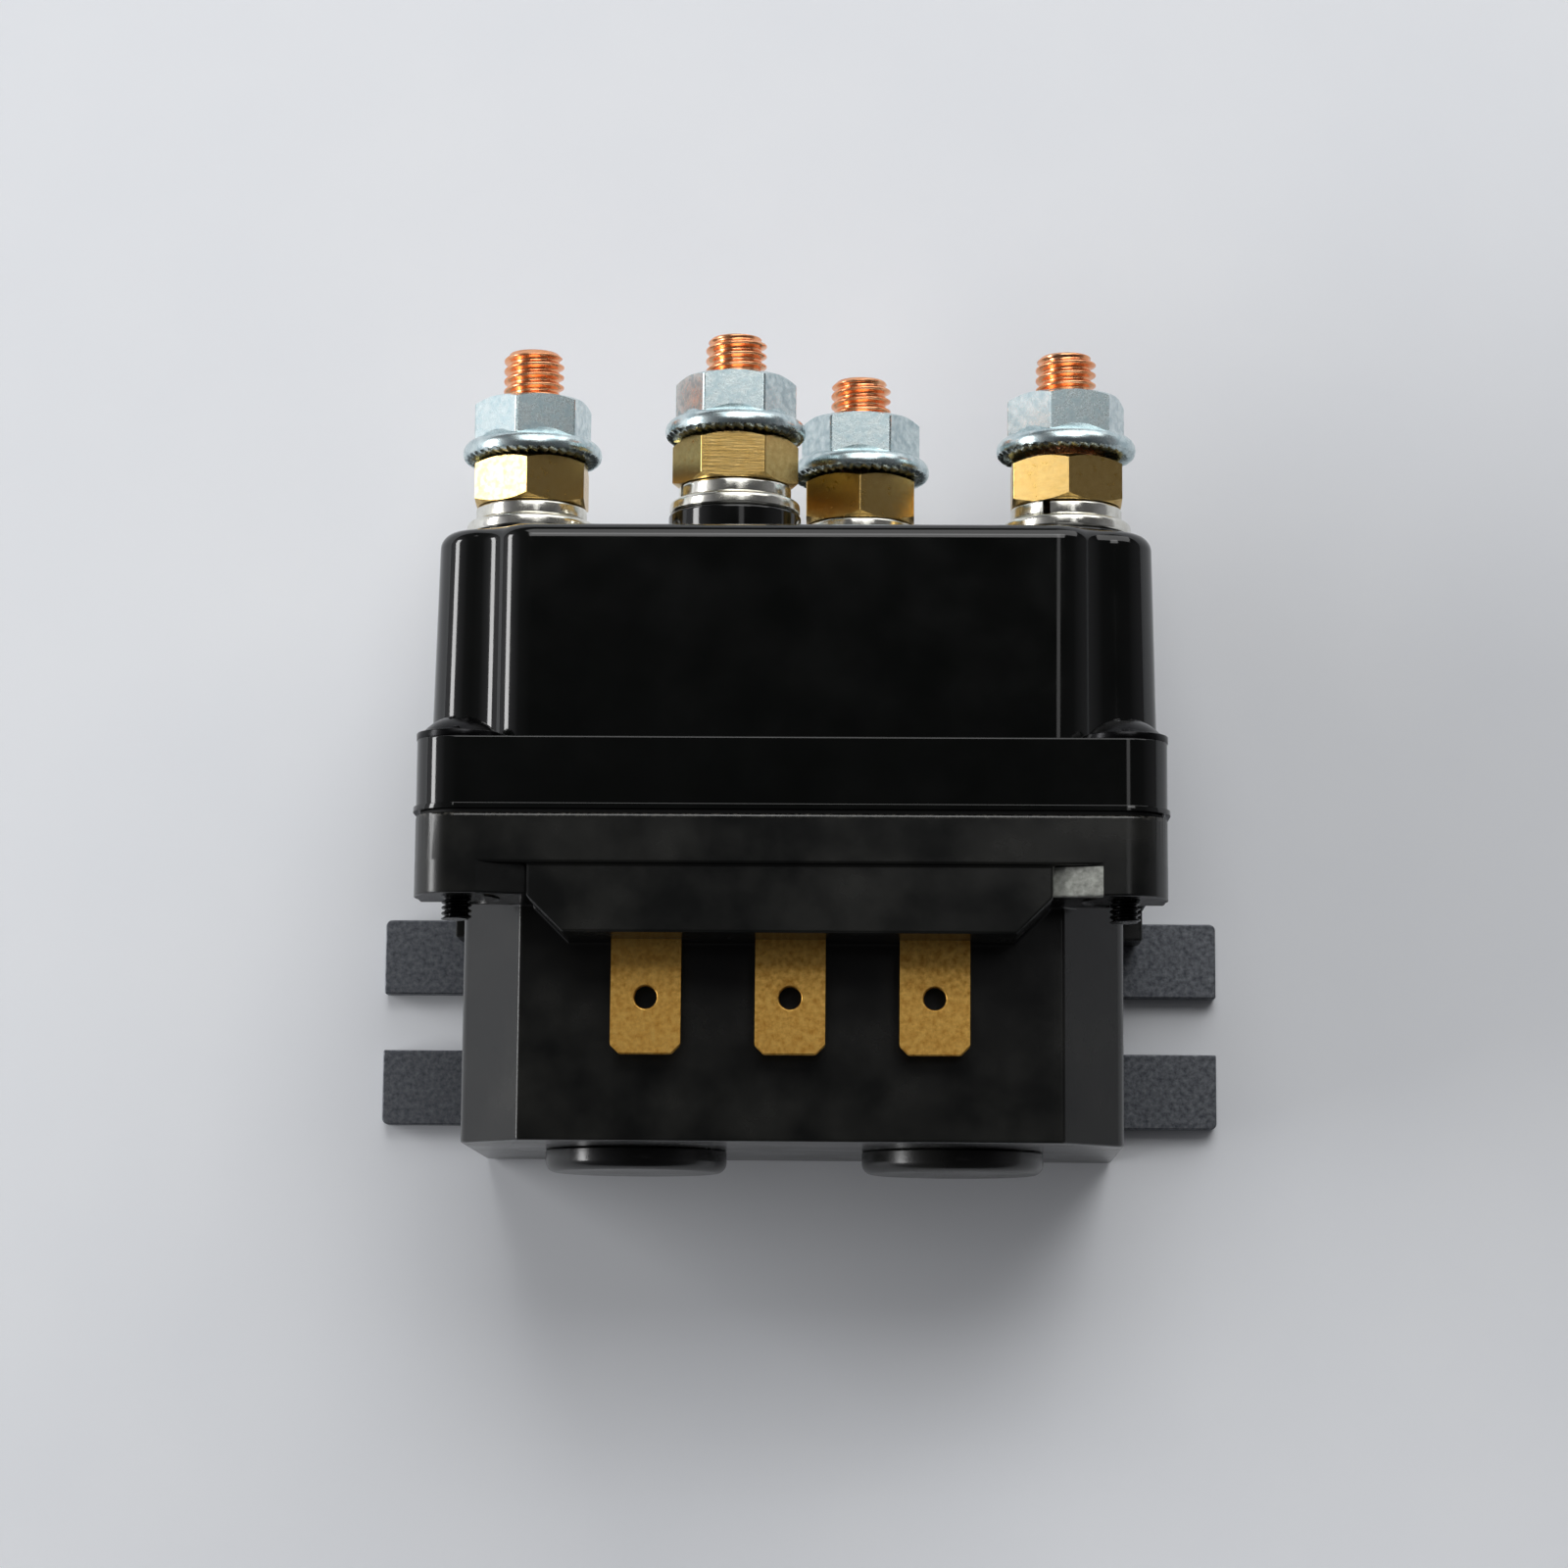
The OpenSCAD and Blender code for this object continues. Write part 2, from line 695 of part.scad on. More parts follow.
// A hexagon whose corners are turned off at 30 degrees, above and, if asked, below
module hexagon(af, y0, y1, both) {
    corner = af / sqrt(3);
    face = af / 2;
    rise = (corner + 0.1 - face) * tan(30);
    intersection() {
        translate([0, 0, y0]) cylinder(r = corner, h = y1 - y0, $fn = 6);
        rotate_extrude() polygon(concat(
            [[0, y0]],
            both ? [[face, y0], [corner + 0.1, y0 + rise]] : [[corner + 0.1, y0]],
            [[corner + 0.1, y1 - rise], [face, y1], [0, y1]]
        ));
    }
}

module brass_nut(s) {
    hole = stud_d / 2 - stud_waist + nut_gap;
    color("#a8884a") on_axis(s[1], brass_y(s), s[2], s[4]) difference() {
        hexagon(brass_af, 0, brass_h, true);
        translate([0, 0, -1]) cylinder(r = hole, h = brass_h + 2);
    }
}

module flange_nut(s) {
    hole = stud_d / 2 - stud_waist + nut_gap;
    color("#c3c8cf") on_axis(s[1], flange_nut_y(s), s[2], s[6]) difference() {
        union() {
            rotate_extrude() rounded(
                [
                    [0, 0],
                    [flange_nut_d / 2, 0],
                    [flange_nut_d / 2, flange_nut_rim],
                    [flange_nut_af / 2, flange_nut_rim + 0.3],
                    [0, flange_nut_rim + 0.3]
                ],
                [0, 0.4 * flange_nut_rim, 0.4 * flange_nut_rim, 0, 0]
            );
            hexagon(flange_nut_af, 0.6, flange_nut_h, false);
        }
        translate([0, 0, -1]) cylinder(r = hole, h = flange_nut_h + 2);
        translate([0, 0, -eps]) cylinder(r1 = hole + 0.9, r2 = hole, h = 0.9);
    }
}

// Parts of one coil, drawn for the right side and mirrored to the left
module at_side(s) {
    if (s[1] > 0) children();
    else mirror([1, 0, 0]) children();
}

module bobbin(s) {
    color("#d8d2c0") at_side(s) on_axis(coil_x, 0, coil_axis_z) rotate_extrude() polygon([
        [bobbin_hole / 2, bobbin_y],
        [bobbin_d / 2, bobbin_y],
        [bobbin_d / 2, bobbin_y + bobbin_flange_t],
        [tube_d / 2, bobbin_y + bobbin_flange_t],
        [tube_d / 2, pole_y - bobbin_flange_t],
        [bobbin_d / 2, pole_y - bobbin_flange_t],
        [bobbin_d / 2, pole_y],
        [bobbin_hole / 2, pole_y]
    ]);
}

// The winding and its two tails, which run to the feet of the spades
module winding(s) {
    r = winding_d / 2;
    tail_d = 0.9;
    tail_y = spade_top - spade_t / 2;
    outer_dx = spade_pitch - coil_x;
    low = coil_axis_z + sqrt(r * r - outer_dx * outer_dx) - 0.4;
    side_z = spade_foot(SPADES[1]) + 0.5;
    side_x = coil_x - sqrt(r * r - pow(side_z - coil_axis_z, 2)) + 0.4;
    color("#9c5a2e") at_side(s) {
        difference() {
            peg(coil_x, coil_axis_z, bobbin_y + bobbin_flange_t, pole_y - bobbin_flange_t, winding_d);
            peg(coil_x, coil_axis_z, bobbin_y, pole_y, tube_d + 2 * slip);
        }
        translate([spade_pitch, tail_y, low]) cylinder(d = tail_d, h = spade_foot(SPADES[2]) - low);
        translate([spade_w / 2, tail_y, side_z]) rotate([0, 90, 0]) cylinder(d = tail_d, h = side_x - spade_w / 2);
    }
}

module yoke(s) {
    inner = yoke_w / 2 - iron_t;
    color("#83868a") at_side(s) difference() {
        translate([coil_x, 0, coil_axis_z - yoke_depth / 2]) linear_extrude(yoke_depth) difference() {
            rounded(
                [[-yoke_w / 2, floor_y], [yoke_w / 2, floor_y], [yoke_w / 2, pole_y], [-yoke_w / 2, pole_y]],
                [iron_t + 0.3, iron_t + 0.3, 0, 0]
            );
            rounded(
                [[-inner, bobbin_y], [inner, bobbin_y], [inner, pole_y + 1], [-inner, pole_y + 1]],
                [0.3, 0.3, 0, 0]
            );
        }
        peg(coil_x, coil_axis_z, floor_y - 1, bobbin_y + 1, plunger_d + 0.8);
    }
}

module pole_plate(s) {
    neck_d = 7;
    color("#83868a") at_side(s) difference() {
        upright(pole_y, deck_y) translate([coil_x - yoke_w / 2, coil_axis_z - yoke_depth / 2])
            square([yoke_w, yoke_depth]);
        peg(coil_x, coil_axis_z, pole_y - 1, deck_y + 1, neck_d + 2 * slip);
    }
}

module fixed_core(s) {
    neck_d = 7;
    color("#75787c") at_side(s) on_axis(coil_x, 0, coil_axis_z) rotate_extrude() polygon([
        [pocket_d / 2, core_y],
        [plunger_d / 2, core_y],
        [plunger_d / 2, pole_y],
        [neck_d / 2, pole_y],
        [neck_d / 2, deck_y],
        [rod_d / 2 + loose, deck_y],
        [rod_d / 2 + loose, pocket_y],
        [pocket_d / 2, pocket_y]
    ]);
}

module plunger(s) {
    top = plunger_y + plunger_h;
    color("#8f9296") at_side(s) on_axis(coil_x, 0, coil_axis_z) rotate_extrude() polygon([
        [0, plunger_y],
        [plunger_d / 2 - 0.4, plunger_y],
        [plunger_d / 2, plunger_y + 0.4],
        [plunger_d / 2, top - 0.4],
        [plunger_d / 2 - 0.4, top],
        [rod_d / 2 + 0.02, top],
        [rod_d / 2 + 0.02, top - rod_in],
        [0, top - rod_in]
    ]);
}

module push_rod(s) {
    r = rod_d / 2;
    color("#c9c3b2") at_side(s) on_axis(coil_x, 0, coil_axis_z) rotate_extrude() polygon([
        [0, plunger_y + plunger_h - rod_in],
        [r, plunger_y + plunger_h - rod_in],
        [r, collar_y],
        [rod_collar_d / 2, collar_y],
        [rod_collar_d / 2, collar_y + collar_t],
        [r, collar_y + collar_t],
        [r, rod_top - 0.3],
        [r - 0.3, rod_top],
        [0, rod_top]
    ]);
}

module rod_clip(s) {
    low = bridge_y + bridge_t;
    color("#c0c3c7") at_side(s) difference() {
        peg(coil_x, coil_axis_z, low, low + clip_t, clip_d);
        peg(coil_x, coil_axis_z, low - 1, low + clip_t + 1, rod_d + 0.04);
    }
}

// Coil spring swept about the rod's axis, with a flat turn at each end
function spring_lift(t, n) = min(max((t - 0.75) / (n - 1.5), 0), 1);
function spring_ring(t, n, mean_r, h, wire) =
    let (a = 360 * t, up = wire / 2 + (h - wire) * spring_lift(t, n))
    [for (k = [0 : 5]) let (b = 60 * k)
        [(mean_r + wire / 2 * cos(b)) * cos(a), (mean_r + wire / 2 * cos(b)) * sin(a), up + wire / 2 * sin(b)]];

module spring(mean_r, h, wire, n) {
    steps = 12 * n;
    points = [for (i = [0 : steps]) each spring_ring(i / 12, n, mean_r, h, wire)];
    sides = [for (i = [0 : steps - 1], k = [0 : 5])
        [6 * i + k, 6 * i + (k + 1) % 6, 6 * (i + 1) + (k + 1) % 6, 6 * (i + 1) + k]];
    start = [for (k = [0 : 5]) 5 - k];
    end = [for (k = [0 : 5]) 6 * steps + k];
    polyhedron(points, concat([start], sides, [end]), convexity = 8);
}

module return_spring(s) {
    low = plunger_y + plunger_h;
    mean_r = pocket_d / 2 - spring_wire / 2 - 0.35;
    color("#b9bcc0") at_side(s) on_axis(coil_x, low + 0.02, coil_axis_z)
        spring(mean_r, pocket_y - low - 0.04, spring_wire, spring_turns);
}

module contact_spring(s) {
    low = collar_y + collar_t;
    mean_r = rod_collar_d / 2 - spring_wire / 2 - 0.2;
    color("#b9bcc0") at_side(s) on_axis(coil_x, low + 0.02, coil_axis_z)
        spring(mean_r, bridge_y - low - 0.04, spring_wire, spring_turns - 1);
}

module contact_bridge(s) {
    color("#b8703f") at_side(s) difference() {
        upright(bridge_y, bridge_y + bridge_t) rounded_box(coil_x - bridge_half, coil_x + bridge_half,
            coil_axis_z - bridge_w / 2, coil_axis_z + bridge_w / 2, 1);
        peg(coil_x, coil_axis_z, bridge_y - 1, bridge_y + bridge_t + 1, rod_d + 0.4);
    }
}

// Bent strip with a lower and an upper arm, riveted to the outer stud
module outer_contact(s) {
    lower_top = lower_y + copper_t;
    color("#b8703f") at_side(s) difference() {
        union() {
            translate([0, 0, arm_z[0]]) linear_extrude(arm_z[1] - arm_z[0]) rounded(
                [
                    [arm_end, lower_y],
                    [riser_x + copper_t, lower_y],
                    [riser_x + copper_t, upper_y + copper_t],
                    [arm_end, upper_y + copper_t],
                    [arm_end, upper_y],
                    [riser_x, upper_y],
                    [riser_x, lower_top],
                    [arm_end, lower_top]
                ],
                [0, 1.2, 1.2, 0, 0, 0.3, 0.3, 0]
            );
            peg(coil_x + pad_x, coil_axis_z, lower_top - 0.5, bridge_y, pad_d);
            peg(coil_x + pad_x, coil_axis_z, upper_pad_y, upper_y + 0.5, pad_d);
        }
        peg(stud_x, stud_z, upper_y - 1, upper_y + copper_t + 1, rivet_d);
    }
}

module supply_bus() {
    front = [coil_axis_z - 2.7, coil_axis_z + 2.8];
    tongue = stud_z + mid_dz + 4;
    color("#b8703f") difference() {
        union() {
            upright(upper_y, upper_y + copper_t) {
                rounded_box(-bus_end, bus_end, front[0], front[1], 0.6);
                rounded_box(-mid_x - 4.5, -mid_x + 4.5, front[0], tongue, 0.6);
            }
            both_sides() peg(coil_x - pad_x, coil_axis_z, upper_pad_y, upper_y + 0.5, pad_d);
        }
        peg(-mid_x, stud_z + mid_dz, upper_y - 1, upper_y + copper_t + 1, rivet_d);
    }
}

module return_bus() {
    back = stud_z - mid_dz - 6.7;
    reach = [mid_x - 4.9, mid_x + 4.6];
    color("#b8703f") difference() {
        union() {
            upright(lower_y, lower_y + copper_t)
                rounded_box(-bus_end, bus_end, back, coil_axis_z + 2.8, 0.6);
            translate([reach[0], lower_y, back]) cube([reach[1] - reach[0], tab_y + copper_t - lower_y, copper_t]);
            translate([reach[0], tab_y, back]) cube([reach[1] - reach[0], copper_t, 10.5]);
            both_sides() peg(coil_x - pad_x, coil_axis_z, lower_y + copper_t - 0.5, bridge_y, pad_d);
        }
        peg(mid_x, stud_z - mid_dz, tab_y - 1, tab_y + copper_t + 1, rivet_d);
    }
}

// Insulating plate over both pole plates, with posts that carry the lower contacts
module contact_deck() {
    color("#4a3b2c") difference() {
        union() {
            upright(deck_y, base_top) deck_plan(loose);
            both_sides() {
                peg(stud_x - 0.8, stud_z - 1.5, deck_y, lower_y, 5);
                peg(7, stud_z - 8, deck_y, lower_y, 4);
            }
        }
        both_sides() peg(coil_x, coil_axis_z, deck_y - 1, base_top + 1, rod_d + 1.4);
    }
}

top_cover();
base_housing();
gasket();
mounting_plate();
plate_screws();
cover_screws();
contact_deck();
supply_bus();
return_bus();
for (s = SPADES) spade(s);
for (s = STUDS) {
    stud(s);
    flat_washer(s);
    spring_washer(s);
    brass_nut(s);
    flange_nut(s);
}
for (s = SIDES) {
    end_cap(s);
    bobbin(s);
    winding(s);
    yoke(s);
    pole_plate(s);
    fixed_core(s);
    plunger(s);
    push_rod(s);
    rod_clip(s);
    return_spring(s);
    contact_spring(s);
    contact_bridge(s);
    outer_contact(s);
}
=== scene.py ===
# %% [markdown]
# # A reversing winch relay
# The relay lies on its back on a pale table: a matte moulded coil housing, a glossy moulded cover, four copper
# studs with their nuts, three spade tabs and a slotted steel plate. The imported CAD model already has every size,
# so this script only makes what the eye needs on top of it: rounded edges, real threads, turned nuts and finishes.
# X runs along the row of studs, Y along the studs, and Z out from the plate towards the camera.

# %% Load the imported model
import json
import math

import bmesh
import bpy
from mathutils import Matrix, Vector

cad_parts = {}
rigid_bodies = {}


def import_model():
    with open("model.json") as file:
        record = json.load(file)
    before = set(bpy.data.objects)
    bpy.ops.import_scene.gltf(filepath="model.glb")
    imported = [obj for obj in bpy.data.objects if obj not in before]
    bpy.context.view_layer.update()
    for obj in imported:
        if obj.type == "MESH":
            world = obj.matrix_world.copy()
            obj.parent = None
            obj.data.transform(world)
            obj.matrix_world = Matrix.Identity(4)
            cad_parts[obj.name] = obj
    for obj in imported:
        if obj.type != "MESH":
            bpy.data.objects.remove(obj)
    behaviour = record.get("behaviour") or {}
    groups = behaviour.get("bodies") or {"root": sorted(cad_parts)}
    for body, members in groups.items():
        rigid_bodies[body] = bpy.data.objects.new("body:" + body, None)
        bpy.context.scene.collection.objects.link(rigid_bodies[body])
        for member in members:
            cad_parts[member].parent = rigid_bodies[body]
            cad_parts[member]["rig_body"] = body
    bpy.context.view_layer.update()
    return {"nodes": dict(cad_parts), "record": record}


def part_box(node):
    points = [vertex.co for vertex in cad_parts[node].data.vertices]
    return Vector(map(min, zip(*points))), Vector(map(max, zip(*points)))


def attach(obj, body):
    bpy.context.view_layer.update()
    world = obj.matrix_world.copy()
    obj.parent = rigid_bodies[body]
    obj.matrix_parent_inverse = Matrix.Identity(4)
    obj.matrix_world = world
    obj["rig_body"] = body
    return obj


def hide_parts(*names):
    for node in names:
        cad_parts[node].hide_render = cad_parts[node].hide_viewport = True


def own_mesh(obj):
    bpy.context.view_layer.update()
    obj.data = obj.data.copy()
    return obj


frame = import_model()
nodes = frame["nodes"]
MM = 0.001
UP = Vector((0, 1, 0))
STUDS = ("left", "mid_left", "mid_right", "right")

# %% [markdown]
# ## Camera
# The photograph was taken from straight above the table, a little below the relay and a little to its right. Its
# place was found from edges whose sizes are known, such as the tabs and the studs. A camera looks along its own -Z,
# so its matrix takes the picture's right, its up and the way back towards the lens as columns.

# %% Camera
eye = Vector((8.20205, -31.60526, 383.71178)) * MM
view_right = Vector((0.99966195, 0.0082734, -0.02464827))
view_up = Vector((-0.00462969, 0.98951271, 0.1443716))
SENSOR = 36
FOCAL_PX, FRAME_PX = 3938.96, 1600

camera = bpy.data.objects.new("camera", bpy.data.cameras.new("camera"))
bpy.context.scene.collection.objects.link(camera)
turn = Matrix((view_right, view_up, view_right.cross(view_up))).transposed()
camera.matrix_world = Matrix.Translation(eye) @ turn.to_4x4()
camera.data.sensor_width = SENSOR
camera.data.lens = FOCAL_PX / FRAME_PX * SENSOR
camera.data.clip_start, camera.data.clip_end = 0.01, 20
bpy.context.scene.camera = camera
print("lens", round(camera.data.lens, 2), "mm")

# %% [markdown]
# ## Colours and nodes
# Colours are picked as sRGB hex values, while a shader works in linear light, so one function converts them. One
# more adds any node, sets its properties and then its inputs, where a socket is linked and a value is set.

# %% Colour and node helpers
def linear(code):
    channels = [int(code[i:i + 2], 16) / 255 for i in (1, 3, 5)]
    return (*[c / 12.92 if c <= 0.04045 else ((c + 0.055) / 1.055) ** 2.4 for c in channels], 1)


def add(tree, kind, inputs=(), **settings):
    node = tree.nodes.new("ShaderNode" + kind)
    for name, value in settings.items():
        setattr(node, name, value)
    for name, value in dict(inputs).items():
        if isinstance(value, bpy.types.NodeSocket):
            tree.links.new(value, node.inputs[name])
        else:
            node.inputs[name].default_value = value
    return node


def start(name):
    """A material with one Principled shader. Patterns read Object coordinates, in metres."""
    material = bpy.data.materials.new(name)
    material.use_nodes = True
    tree = material.node_tree
    shader = tree.nodes["Principled BSDF"]
    place = add(tree, "TexCoord").outputs["Object"]
    return material, tree, shader, place


def feed(tree, shader, **inputs):
    """Links or sets the shader's inputs, whose names are written with _ for a space."""
    for name, value in inputs.items():
        socket = shader.inputs[name.replace("_", " ")]
        if isinstance(value, bpy.types.NodeSocket):
            tree.links.new(value, socket)
        else:
            socket.default_value = value


def per_mm(size):
    """Noise scale for a pattern whose lumps are this many millimetres apart."""
    return 1 / (size * MM)


# %% [markdown]
# ## Moulded plastics
# The cover is a glossy thermoset moulding with a faint ripple from its mould, so its roughness is low. The coil
# housing is glass-filled nylon from a spark-eroded mould: its skin is a fine grain about a fifth of a millimetre
# wide, which spreads the light and looks lighter at a glancing angle. Dust lies along its parting edge. On one
# ramp beside the skirt, a light grey speckled patch is a painted highlight where that ramp catches the lamp.

# %% Moulded plastics
DUST_FROM, DUST_FULL = 14.6 * MM, 15 * MM
# Where the painted highlight lies on the right ramp: its middle and half its width along each axis.
PAINTED_HIGHLIGHT_PATCH = {"X": (25.45, 2.2), "Y": (9.1, 1.35), "Z": (45.3, 0.8)}  # the patch's middle and half its width, in mm


def moulded(name, colour, dusty, roughness, grain, depth, spread=0.05, dust_and_painted_highlight=False):
    material, tree, shader, place = start(name)
    cloud = add(tree, "TexNoise", {"Vector": place, "Scale": per_mm(6), "Detail": 4})
    share = add(tree, "MapRange", {"Value": cloud.outputs["Fac"], "From Min": 0.35, "From Max": 0.7})
    tint = add(tree, "Mix", {"Factor": share.outputs["Result"], "A": linear(colour), "B": linear(dusty)},
               data_type="RGBA")
    # Dust along the parting edge, and a painted highlight on the right ramp.
    if dust_and_painted_highlight:
        specks = add(tree, "TexNoise", {"Vector": place, "Scale": per_mm(0.45), "Detail": 3})
        where = add(tree, "SeparateXYZ", {"Vector": place}).outputs
        near = add(tree, "MapRange", {"Value": where["Y"], "From Min": DUST_FROM, "From Max": DUST_FULL})
        lying = add(tree, "MapRange", {"Value": specks.outputs["Fac"], "From Min": 0.45, "From Max": 0.8})
        dust = add(tree, "Math", {0: near.outputs["Result"], 1: lying.outputs["Result"]}, operation="MULTIPLY")
        tint = add(tree, "Mix", {"Factor": dust.outputs[0], "A": tint.outputs["Result"], "B": linear("#6E6B63")},
                   data_type="RGBA")
        # Painted highlight: a light grey speckled patch on the right ramp, coloured in where the ramp catches the
        # lamp.
        painted_highlight = add(tree, "MapRange", {"Value": specks.outputs["Fac"], "From Min": 0.3, "From Max": 0.7,
                                       "To Min": 0.5})
        for axis, (centre, half) in PAINTED_HIGHLIGHT_PATCH.items():
            inside = add(tree, "Math", {0: where[axis], 1: centre * MM, 2: half * MM}, operation="COMPARE")
            painted_highlight = add(tree, "Math", {0: painted_highlight.outputs[0], 1: inside.outputs[0]}, operation="MULTIPLY")
        tint = add(tree, "Mix", {"Factor": painted_highlight.outputs[0], "A": tint.outputs["Result"], "B": linear("#A3A59E")},
                   data_type="RGBA")
    polish = add(tree, "MapRange", {"Value": cloud.outputs["Fac"], "From Min": 0.3, "From Max": 0.7,
                                    "To Min": roughness - spread, "To Max": roughness + spread})
    skin = add(tree, "TexNoise", {"Vector": place, "Scale": per_mm(grain), "Detail": 2})
    bump = add(tree, "Bump", {"Height": skin.outputs["Fac"], "Strength": 1, "Distance": depth * MM})
    feed(tree, shader, Base_Color=tint.outputs["Result"], Roughness=polish.outputs["Result"],
         Normal=bump.outputs["Normal"], IOR=1.5)
    return material


gloss_cover = moulded("glossy_phenolic", "#040504", "#070807", 0.09, 1.6, 0.0015, 0.03)
matte_housing = moulded("grained_nylon", "#090A09", "#1A1A17", 0.24, 0.16, 0.005, dust_and_painted_highlight=True)
gasket_rubber = moulded("sheet_rubber", "#131313", "#1B1B1A", 0.7, 0.3, 0.01)
insulating_board = moulded("pressed_board", "#4A3B2C", "#5C4A36", 0.75, 0.5, 0.02)
bobbin_nylon = moulded("natural_nylon", "#D8D2C0", "#E2DCCB", 0.5, 0.4, 0.004)

# %% [markdown]
# ## Plated, turned and rolled metals
# A metal shows almost only what it reflects, so what tells zinc, brass and copper apart is the tint of that
# reflection and how smooth the surface is. Plating leaves soft clouds a few millimetres wide, a lathe leaves fine
# rings, and a press leaves scuffs. Each metal below mixes two tints by such clouds and adds its own marks as bump.

# %% Metals
def metal(name, colour, stain, roughness, cloud_mm, mark_mm, mark_depth, stretch=(1, 1, 1), spread=0.08,
          contrast=0.2):
    material, tree, shader, place = start(name)
    cloud = add(tree, "TexNoise", {"Vector": place, "Scale": per_mm(cloud_mm), "Detail": 5, "Roughness": 0.6})
    share = add(tree, "MapRange", {"Value": cloud.outputs["Fac"], "From Min": 0.5 - contrast,
                                   "From Max": 0.5 + contrast})
    tint = add(tree, "Mix", {"Factor": share.outputs["Result"], "A": linear(colour), "B": linear(stain)},
               data_type="RGBA")
    polish = add(tree, "MapRange", {"Value": cloud.outputs["Fac"], "From Min": 0.3, "From Max": 0.7,
                                    "To Min": max(roughness - spread, 0.05), "To Max": roughness + spread})
    along = add(tree, "Mapping", {"Vector": place, "Scale": stretch})
    marks = add(tree, "TexNoise", {"Vector": along.outputs["Vector"], "Scale": per_mm(mark_mm), "Detail": 3})
    bump = add(tree, "Bump", {"Height": marks.outputs["Fac"], "Strength": 1, "Distance": mark_depth * MM})
    feed(tree, shader, Base_Color=tint.outputs["Result"], Metallic=1.0, Roughness=polish.outputs["Result"],
         Normal=bump.outputs["Normal"])
    return material


RINGS = (0.08, 1, 0.08)  # marks drawn out round the turned part show as fine level lines
stud_copper = metal("rolled_copper", "#FFC093", "#F39C66", 0.24, 2, 0.3, 0.004)
nut_brass = metal("turned_brass", "#DDBE7C", "#B99550", 0.25, 0.6, 0.2, 0.008, RINGS, spread=0.03, contrast=0.25)
zinc_nut = metal("bright_zinc", "#E4F0F0", "#A9BEC4", 0.27, 0.8, 0.3, 0.004, spread=0.04)
tinned_washer = metal("tin_plate", "#ECEBE4", "#D3D1C6", 0.2, 1, 0.4, 0.006)
tab_brass = metal("stamped_brass", "#F2C46A", "#A8742B", 0.44, 0.5, 0.14, 0.014, (1, 0.25, 1), contrast=0.22)
zinc_steel = metal("speckled_zinc_steel", "#7B7E83", "#4E5157", 0.55, 0.5, 0.22, 0.014)
black_steel = metal("black_oxide_steel", "#29292A", "#1B1B1C", 0.25, 1.5, 0.4, 0.006)
bar_copper = metal("stamped_copper_bar", "#D08A5E", "#B8703F", 0.3, 3, 0.3, 0.006)
core_iron = metal("plated_soft_iron", "#8F9296", "#7C7F83", 0.35, 3, 0.3, 0.008)
rod_brass = metal("drawn_brass_rod", "#CDB277", "#B99A5C", 0.3, 3, 0.3, 0.006, RINGS)
spring_steel = metal("spring_wire", "#B9BCC0", "#9DA0A4", 0.25, 2, 0.2, 0.003)
enamelled_wire = metal("enamelled_winding", "#9C5A2E", "#7E4522", 0.3, 2, 0.35, 0.01)

FINISHES = {
    "gloss_cover": gloss_cover, "matte_housing": matte_housing, "gasket_rubber": gasket_rubber,
    "insulating_board": insulating_board, "bobbin_nylon": bobbin_nylon, "stud_copper": stud_copper,
    "nut_brass": nut_brass, "zinc_nut": zinc_nut, "tinned_washer": tinned_washer, "tab_brass": tab_brass,
    "zinc_steel": zinc_steel, "black_steel": black_steel, "bar_copper": bar_copper, "core_iron": core_iron,
    "rod_brass": rod_brass, "spring_steel": spring_steel, "enamelled_wire": enamelled_wire,
}
slots = {part["node"]: part["material_slot"] for part in frame["record"]["subparts"]}
for name, obj in nodes.items():
    obj.data.materials.clear()
    obj.data.materials.append(FINISHES[slots[name]])
print("materials", len(FINISHES), "on", len(nodes), "nodes")

# %% [markdown]
# ## From a bmesh to a finished piece
# All shapes below are drawn in millimetres. When one is done, this function merges doubled points, turns the faces
# outwards, scales the shape to metres and marks its creases, so that round surfaces shade smoothly and edges stay
# crisp. The piece then takes the finish and the moving body of the CAD node whose place it takes.

# %% Finished piece, and helpers that read the CAD model
def piece(bm, node, crease=34):
    bmesh.ops.remove_doubles(bm, verts=bm.verts, dist=1e-4)
    bmesh.ops.recalc_face_normals(bm, faces=bm.faces)
    bmesh.ops.scale(bm, vec=(MM, MM, MM), verts=bm.verts)
    mesh = bpy.data.meshes.new("fine_" + node)
    bm.to_mesh(mesh)
    bm.free()
    mesh.shade_smooth()
    mesh.set_sharp_from_angle(angle=math.radians(crease))
    mesh.materials.append(FINISHES[slots[node]])
    obj = bpy.data.objects.new("fine_" + node, mesh)
    bpy.context.scene.collection.objects.link(obj)
    even = obj.modifiers.new("even shading", "WEIGHTED_NORMAL")
    even.keep_sharp = True
    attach(obj, nodes[node]["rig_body"])
    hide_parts(node)
    return obj


def extent(node):
    """A node's lowest and highest corner, in millimetres."""
    low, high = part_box(node)
    return low / MM, high / MM


def middle(node):
    """The place of a node's upright axis, and its lowest and highest point along it."""
    low, high = extent(node)
    return (low.x + high.x) / 2, (low.z + high.z) / 2, low.y, high.y


def merged_copy(node):
    """The CAD node's mesh in millimetres, with its loose triangles merged and its flat faces made whole."""
    bm = bmesh.new()
    bm.from_mesh(nodes[node].data)
    bmesh.ops.scale(bm, vec=(1 / MM,) * 3, verts=bm.verts)
    bmesh.ops.remove_doubles(bm, verts=bm.verts, dist=1e-3)
    bmesh.ops.dissolve_limit(bm, angle_limit=math.radians(0.6), verts=bm.verts, edges=bm.edges, delimit=set())
    return bm


def round_off(bm, edges, width, segments=3):
    bmesh.ops.bevel(bm, geom=edges, offset=width, offset_type="OFFSET", affect="EDGES", segments=segments,
                    profile=0.5, material=-1, clamp_overlap=False, loop_slide=True)


